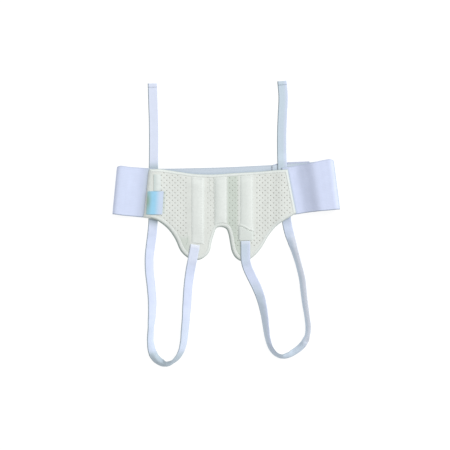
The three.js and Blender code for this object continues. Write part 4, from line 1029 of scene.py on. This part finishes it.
class BELT_OT_leg_straps(Operator):
    """Makes the two leg straps with their hemmed ends"""
    bl_idname = "belt.leg_straps"
    bl_label = "Leg Straps"

    def execute(self, context):
        for name, rows, anchor, loop, inner_side, layers in (
                ("left", LEFT_STRAP, LEFT_ANCHOR, LEFT_LOOP, -1, 1),
                ("right", RIGHT_STRAP, RIGHT_ANCHOR, RIGHT_LOOP, 1, 2)):
            on_loop, on_tail, white, foot_edge, under_edge = STRAP_LOOKS[name]
            at, length = strap_surface(rows, anchor, loop, inner_side, layers)
            run = np.unique(np.concatenate([np.arange(0, length, 2.0), length - np.array(
                [0, 0.15, 0.5, 1, HEM_LENGTH - 1, HEM_LENGTH - 0.2, HEM_LENGTH, HEM_LENGTH + 0.2])]))
            across = across_places(STRAP_WIDTH, 25, 0.8)
            base, face = at(run, across)
            # The thickness is rounded off at the edges and ends and doubled over the hem, and a cord
            # along both edges and the ribs of the weave stand up from it
            edge = np.minimum(across, STRAP_WIDTH - across)
            cord = 0.16 * bell(edge - 1.6, 0.8)
            weave = 0.05 * np.cos(2 * np.pi * across / 2.5)
            hem = 1 + smooth((run - (length - HEM_LENGTH - 0.2)) / 0.4) * 0.95
            ends = rounded(np.minimum(run, length - run), 0.6)[:, None]
            body = (0.1 + 0.9 * rounded(edge, 2.2))[None] * (0.35 + 0.65 * ends)
            high = STRAP_THICK * hem[:, None] * (0.1 + 0.9 * body) - 0.12 + (cord + weave)[None] * ends
            low = STRAP_THICK * (0.1 - 0.1 * body)
            points, quads = shell(base + face * high[..., None], base + face * low[..., None])
            x, y = base[..., 0], base[..., 1]
            tail = smooth((run - (length - loop[2] * 0.95)) / 40)[:, None]
            whitish = (1 - smooth((run - 5) / 4))[:, None] * white
            # Painted shade greys the strap, less towards its right side, and painted shade darkens its edges,
            # most the one away from the light
            span = (base[:, -1] - base[:, 0])[:, :2]
            span /= np.linalg.norm(span, axis=1)[:, None]
            place = 2 * across / STRAP_WIDTH - 1
            rightwards = span[:, :1] * place[None]
            shaded = (span @ AWAY)[:, None] * np.sign(place)[None]
            reverse = mix(on_loop, on_tail, tail) * (1 - 0.7 * smooth((rightwards - 0.1) / 0.8))
            bottom = 1 - smooth((y - anchor[1] + loop[1] - 18) / 20)
            border = (1 - smooth(edge / 3.0))[None]
            free = smooth((run - 25) / 20)[:, None]
            selvedge = border * np.maximum(np.clip(0.45 + 0.7 * shaded, 0.15, 1), 0.7 * bottom)
            selvedge = selvedge * (0.4 + 0.6 * free)
            # Painted shadow of the belt's edge darkens the strap that comes out from under it
            depth, _ = nearest_on_outline(x.ravel(), y.ravel())
            under = smooth((run - UPWARD_RUN) / 60)[:, None] * bell(np.minimum(depth, 0).reshape(x.shape), 14)
            selvedge = np.maximum.reduce([selvedge, foot_edge * bottom, under_edge * under])
            if name == "left":
                # Painted shade greys the left loop's lower part and foot, and painted light whitens its tail
                # and lightens its start, less where the belt's painted shadow falls
                reverse = np.maximum.reduce([reverse, 0.45 * (1 - smooth((y + 300) / 60)), bottom, under])
                clear = np.maximum(tail, 1 - smooth((run - 30) / 25)[:, None])
                clear = np.maximum(whitish, 0.4 * clear) * (1 - under)
            else:
                # Painted shade is lifted from two stretches, and painted light whitens the right run's right
                # half
                left_run = (x < LOOP_MIDDLE_X)[..., None]
                place_y, reach, strength = np.moveaxis(np.where(left_run, *np.array(CLEAR_STRETCHES)), 2, 0)
                reverse = reverse * (1 - strength * bell(y - place_y, reach))
                outer_run = smooth((x - 125) / 10) * smooth((-80 - y) / 30) * (1 - bottom)
                clear = np.maximum(whitish, outer_run * smooth((rightwards + 0.3) / 1.1))
            # The hem attribute is painted light that whitens the strap
            values = {"reverse": reverse, "hem": clear, "selvedge": selvedge}
            strap = make_piece(f"strap_{name}_webbing", points, quads, webbing_cloth(),
                               [f"leg_strap_{name}"], sheet_uv(run, across),
                               {key: np.tile(value.ravel(), 2) for key, value in values.items()})
            spots = np.arange(1.4, STRAP_WIDTH - 1, stitch_pitch() * 0.9)
            for place, cloths, sunk in STRAP_SEAMS:
                place = length + place if place < 0 else place
                line, out = (each[0] for each in at(np.array([place]), spots))
                SEAMS.append((line + out * (STRAP_THICK * cloths - sunk), out, 0.0))
        return {"FINISHED"}


class BELT_OT_labels(Operator):
    """Makes the blank care label and the blank side label"""
    bl_idname = "belt.labels"
    bl_label = "Labels"

    def execute(self, context):
        # The care label follows the foam and lifts in two soft waves towards its free side
        s = across_places(1, 18, 0.03)
        v = across_places(1, 26, 0.03)
        x = np.broadcast_to(panel_x(mix(CARE_LABEL["left"], CARE_LABEL["right"], s))[None], (len(v), len(s)))
        y = np.broadcast_to((mix(CARE_LABEL["top"], CARE_LABEL["foot"], v) * BAND_WIDTH)[:, None], x.shape)
        _, top = panel_layers(x, y)
        lift = GAP + 0.5 * np.sin(v * 9)[:, None] ** 2 * s[None] ** 2
        points, quads = shell(np.dstack([x, y, top + lift + 0.45]), np.dstack([x, y, top + lift]))
        satin = satin_label("white_satin_label", "white_label", [("worn", "#C9D6D3")])
        # The care label is darker towards its left side
        worn = np.tile(1 - smooth(s / 0.7), 2 * len(v)) * 0.8
        care = make_piece("care_label_satin", points, quads, satin, ["care_label"],
                          points[:, :2], {"worn": worn})
        width, length = CARE_LABEL["size"]
        # The side label lies over the binding and curls up by the cube of the way across it
        from_x, to_x = (panel_x(mix(*SIDE_LABEL[end], v))[:, None] for end in ("left", "right"))
        x = mix(from_x, to_x, s[None])
        y = np.broadcast_to((mix(SIDE_LABEL["top"], SIDE_LABEL["foot"], v) * BAND_WIDTH)[:, None], x.shape)
        middle, _ = panel_layers(x, y)
        level = middle + RIM_THICK / 2 + 2 * GAP + SIDE_LABEL_CURL * s[None] ** 3
        points, quads = shell(np.dstack([x, y, level + 0.6]), np.dstack([x, y, level + 0.1]))
        width, length = SIDE_LABEL["size"]
        # The side label is darker towards its left side, most part way down
        worn = (1 - smooth((s - 0.02) / 0.34)) * (0.5 + 0.5 * bell(v - 0.42, 0.3))[:, None]
        faded = np.tile(smooth((s - 0.42) / 0.45), 2 * len(v))
        satin = satin_label("blue_satin_label", "blue_label", [("worn", "#90AE9C"), ("faded", "#D3E1F7")])
        side = make_piece("side_label_satin", points, quads, satin, ["side_label"],
                          sheet_uv(v * length, s * width)[:, ::-1],
                          {"worn": np.tile(worn.ravel(), 2), "faded": faded})
        return {"FINISHED"}


class BELT_OT_stitching(Operator):
    """Makes the thread of every seam that the pieces before it have listed"""
    bl_idname = "belt.stitching"
    bl_label = "Stitching"

    def execute(self, context):
        if not SEAMS:
            raise RuntimeError("make the pieces before their stitching")
        points, quads, triangles, pressed = stitches(SEAMS)
        make_piece("seam_thread", points, quads, sewing_thread(), values={"pressed": pressed},
                   triangles=triangles)
        return {"FINISHED"}


class BELT_OT_stage(Operator):
    """Makes the pale floor, the lights and the camera that looks straight down"""
    bl_idname = "belt.stage"
    bl_label = "Stage"

    def execute(self, context):
        scene = context.scene
        mesh = bpy.data.meshes.new("floor")
        corners = [(x, y, -0.0004) for x, y in ((-3, -3), (3, -3), (3, 3), (-3, 3))]
        mesh.from_pydata(corners, [], [(0, 1, 2, 3)])
        floor = bpy.data.objects.new("floor", mesh)
        scene.collection.objects.link(floor)
        paint = bpy.data.materials.new("matt_white_board")
        paint.use_nodes = True
        shader = paint.node_tree.nodes["Principled BSDF"]
        for name, value in (("Base Color", (0.2, 0.2, 0.2, 1)), ("Emission Color", (1, 1, 1, 1)),
                            ("Emission Strength", 0.88), ("Roughness", 1.0), ("Specular IOR Level", 0.0)):
            shader.inputs[name].default_value = value
        mesh.materials.append(paint)

        world = bpy.data.worlds.new("studio")
        world.use_nodes = True
        world.node_tree.nodes["Background"].inputs["Color"].default_value = (1, 1, 1, 1)
        world.node_tree.nodes["Background"].inputs["Strength"].default_value = 0.60
        scene.world = world
        lamp = bpy.data.lights.new("key", "AREA")
        lamp.energy = 261
        lamp.size = 3.6
        light = bpy.data.objects.new("key", lamp)
        light.location = (3.9, 3.0, 3.75)
        x, y, z = np.array([0, -0.07, 0]) - np.array(light.location)
        light.rotation_euler = (math.atan2(math.hypot(x, y), -z), 0, math.atan2(y, x) - math.pi / 2)
        scene.collection.objects.link(light)

        lens = bpy.data.cameras.new("camera")
        lens.lens = 75
        lens.sensor_width = 36
        camera = bpy.data.objects.new("camera", lens)
        view_width = 958.5 * MM
        camera.location = (0, -72.4 * MM, view_width * lens.lens / lens.sensor_width)
        scene.collection.objects.link(camera)
        scene.camera = camera
        scene.view_settings.view_transform = "Standard"
        return {"FINISHED"}


def colour_property(name, description, colour):
    """A colour of the belt, with its default as an sRGB hex value."""
    return FloatVectorProperty(name=name, description=description, subtype="COLOR", size=3, min=0, max=1,
                               default=linear(colour))


def length_property(name, description, default, low, high):
    """A length, with its default and its limits in millimetres."""
    return FloatProperty(name=name, description=description, unit="LENGTH", default=default * MM,
                         min=low * MM, max=high * MM)


class BeltColours(PropertyGroup):
    """Colours of the belt's cloth"""
    foam: colour_property("Foam", "Cream face of the padded panel", "#E5E9E4")
    tape: colour_property("Tape", "Binding and sewn strips", "#EAEFEB")
    elastic: colour_property("Elastic", "Side bands", "#DCE5FF")
    webbing: colour_property("Webbing", "Leg straps", "#DDE6FF")
    hook: colour_property("Hook Tape", "Closure at the back", "#C9D0E4")
    white_label: colour_property("Care Label", "Blank white label", "#E9F0ED")
    blue_label: colour_property("Side Label", "Blank blue label", "#A4DDFB")
    thread: colour_property("Thread", "Seams", "#DDE3E0")

class BeltDetail(PropertyGroup):
    """Sizes of the belt's fine detail"""
    hole_width: length_property("Hole Width", "Width of a perforation", 1.7, 0.5, 2.4)
    hole_pitch_across: length_property("Hole Pitch Across", "Distance between columns of holes", 5.8, 4, 12)
    hole_pitch_along: length_property("Hole Pitch Along", "Distance between holes of a column", 10.65, 8, 24)
    rib_pitch: length_property("Rib Pitch", "Distance between ribs of the elastic", 3.3, 1, 8)
    rib_relief: length_property("Rib Relief", "Height of the elastic's ribs", 0.12, 0, 0.5)
    stitch_pitch: length_property("Stitch Pitch", "Distance from stitch to stitch", 3.0, 1.5, 6)
    thread_width: length_property("Thread Width", "Width of the sewing thread", 0.6, 0.2, 1)


OPERATORS = (
    BELT_OT_front_panel, BELT_OT_edge_binding, BELT_OT_sewn_strips, BELT_OT_side_bands, BELT_OT_hook_tab,
    BELT_OT_leg_straps, BELT_OT_labels, BELT_OT_stitching, BELT_OT_stage,
)


class BELT_PT_sidebar(Panel):
    """Lists the belt's colours, sizes and pieces"""
    bl_idname = "BELT_PT_sidebar"
    bl_label = "Hernia Belt"
    bl_space_type = "VIEW_3D"
    bl_region_type = "UI"
    bl_category = "Belt"

    def draw(self, context):
        for group in (context.scene.belt_colours, context.scene.belt_detail):
            for name in group.bl_rna.properties.keys():
                if name not in ("rna_type", "name"):
                    self.layout.prop(group, name)
        for each in OPERATORS:
            self.layout.operator(each.bl_idname)


CLASSES = (BeltColours, BeltDetail, *OPERATORS, BELT_PT_sidebar)


def register():
    for each in CLASSES:
        bpy.utils.register_class(each)
    bpy.types.Scene.belt_colours = PointerProperty(type=BeltColours)
    bpy.types.Scene.belt_detail = PointerProperty(type=BeltDetail)


def unregister():
    del bpy.types.Scene.belt_detail
    del bpy.types.Scene.belt_colours
    for each in reversed(CLASSES):
        bpy.utils.unregister_class(each)


def main():
    register()
    for each in OPERATORS:
        getattr(bpy.ops.belt, each.bl_idname.split(".")[1])()


if __name__ == "__main__":
    main()
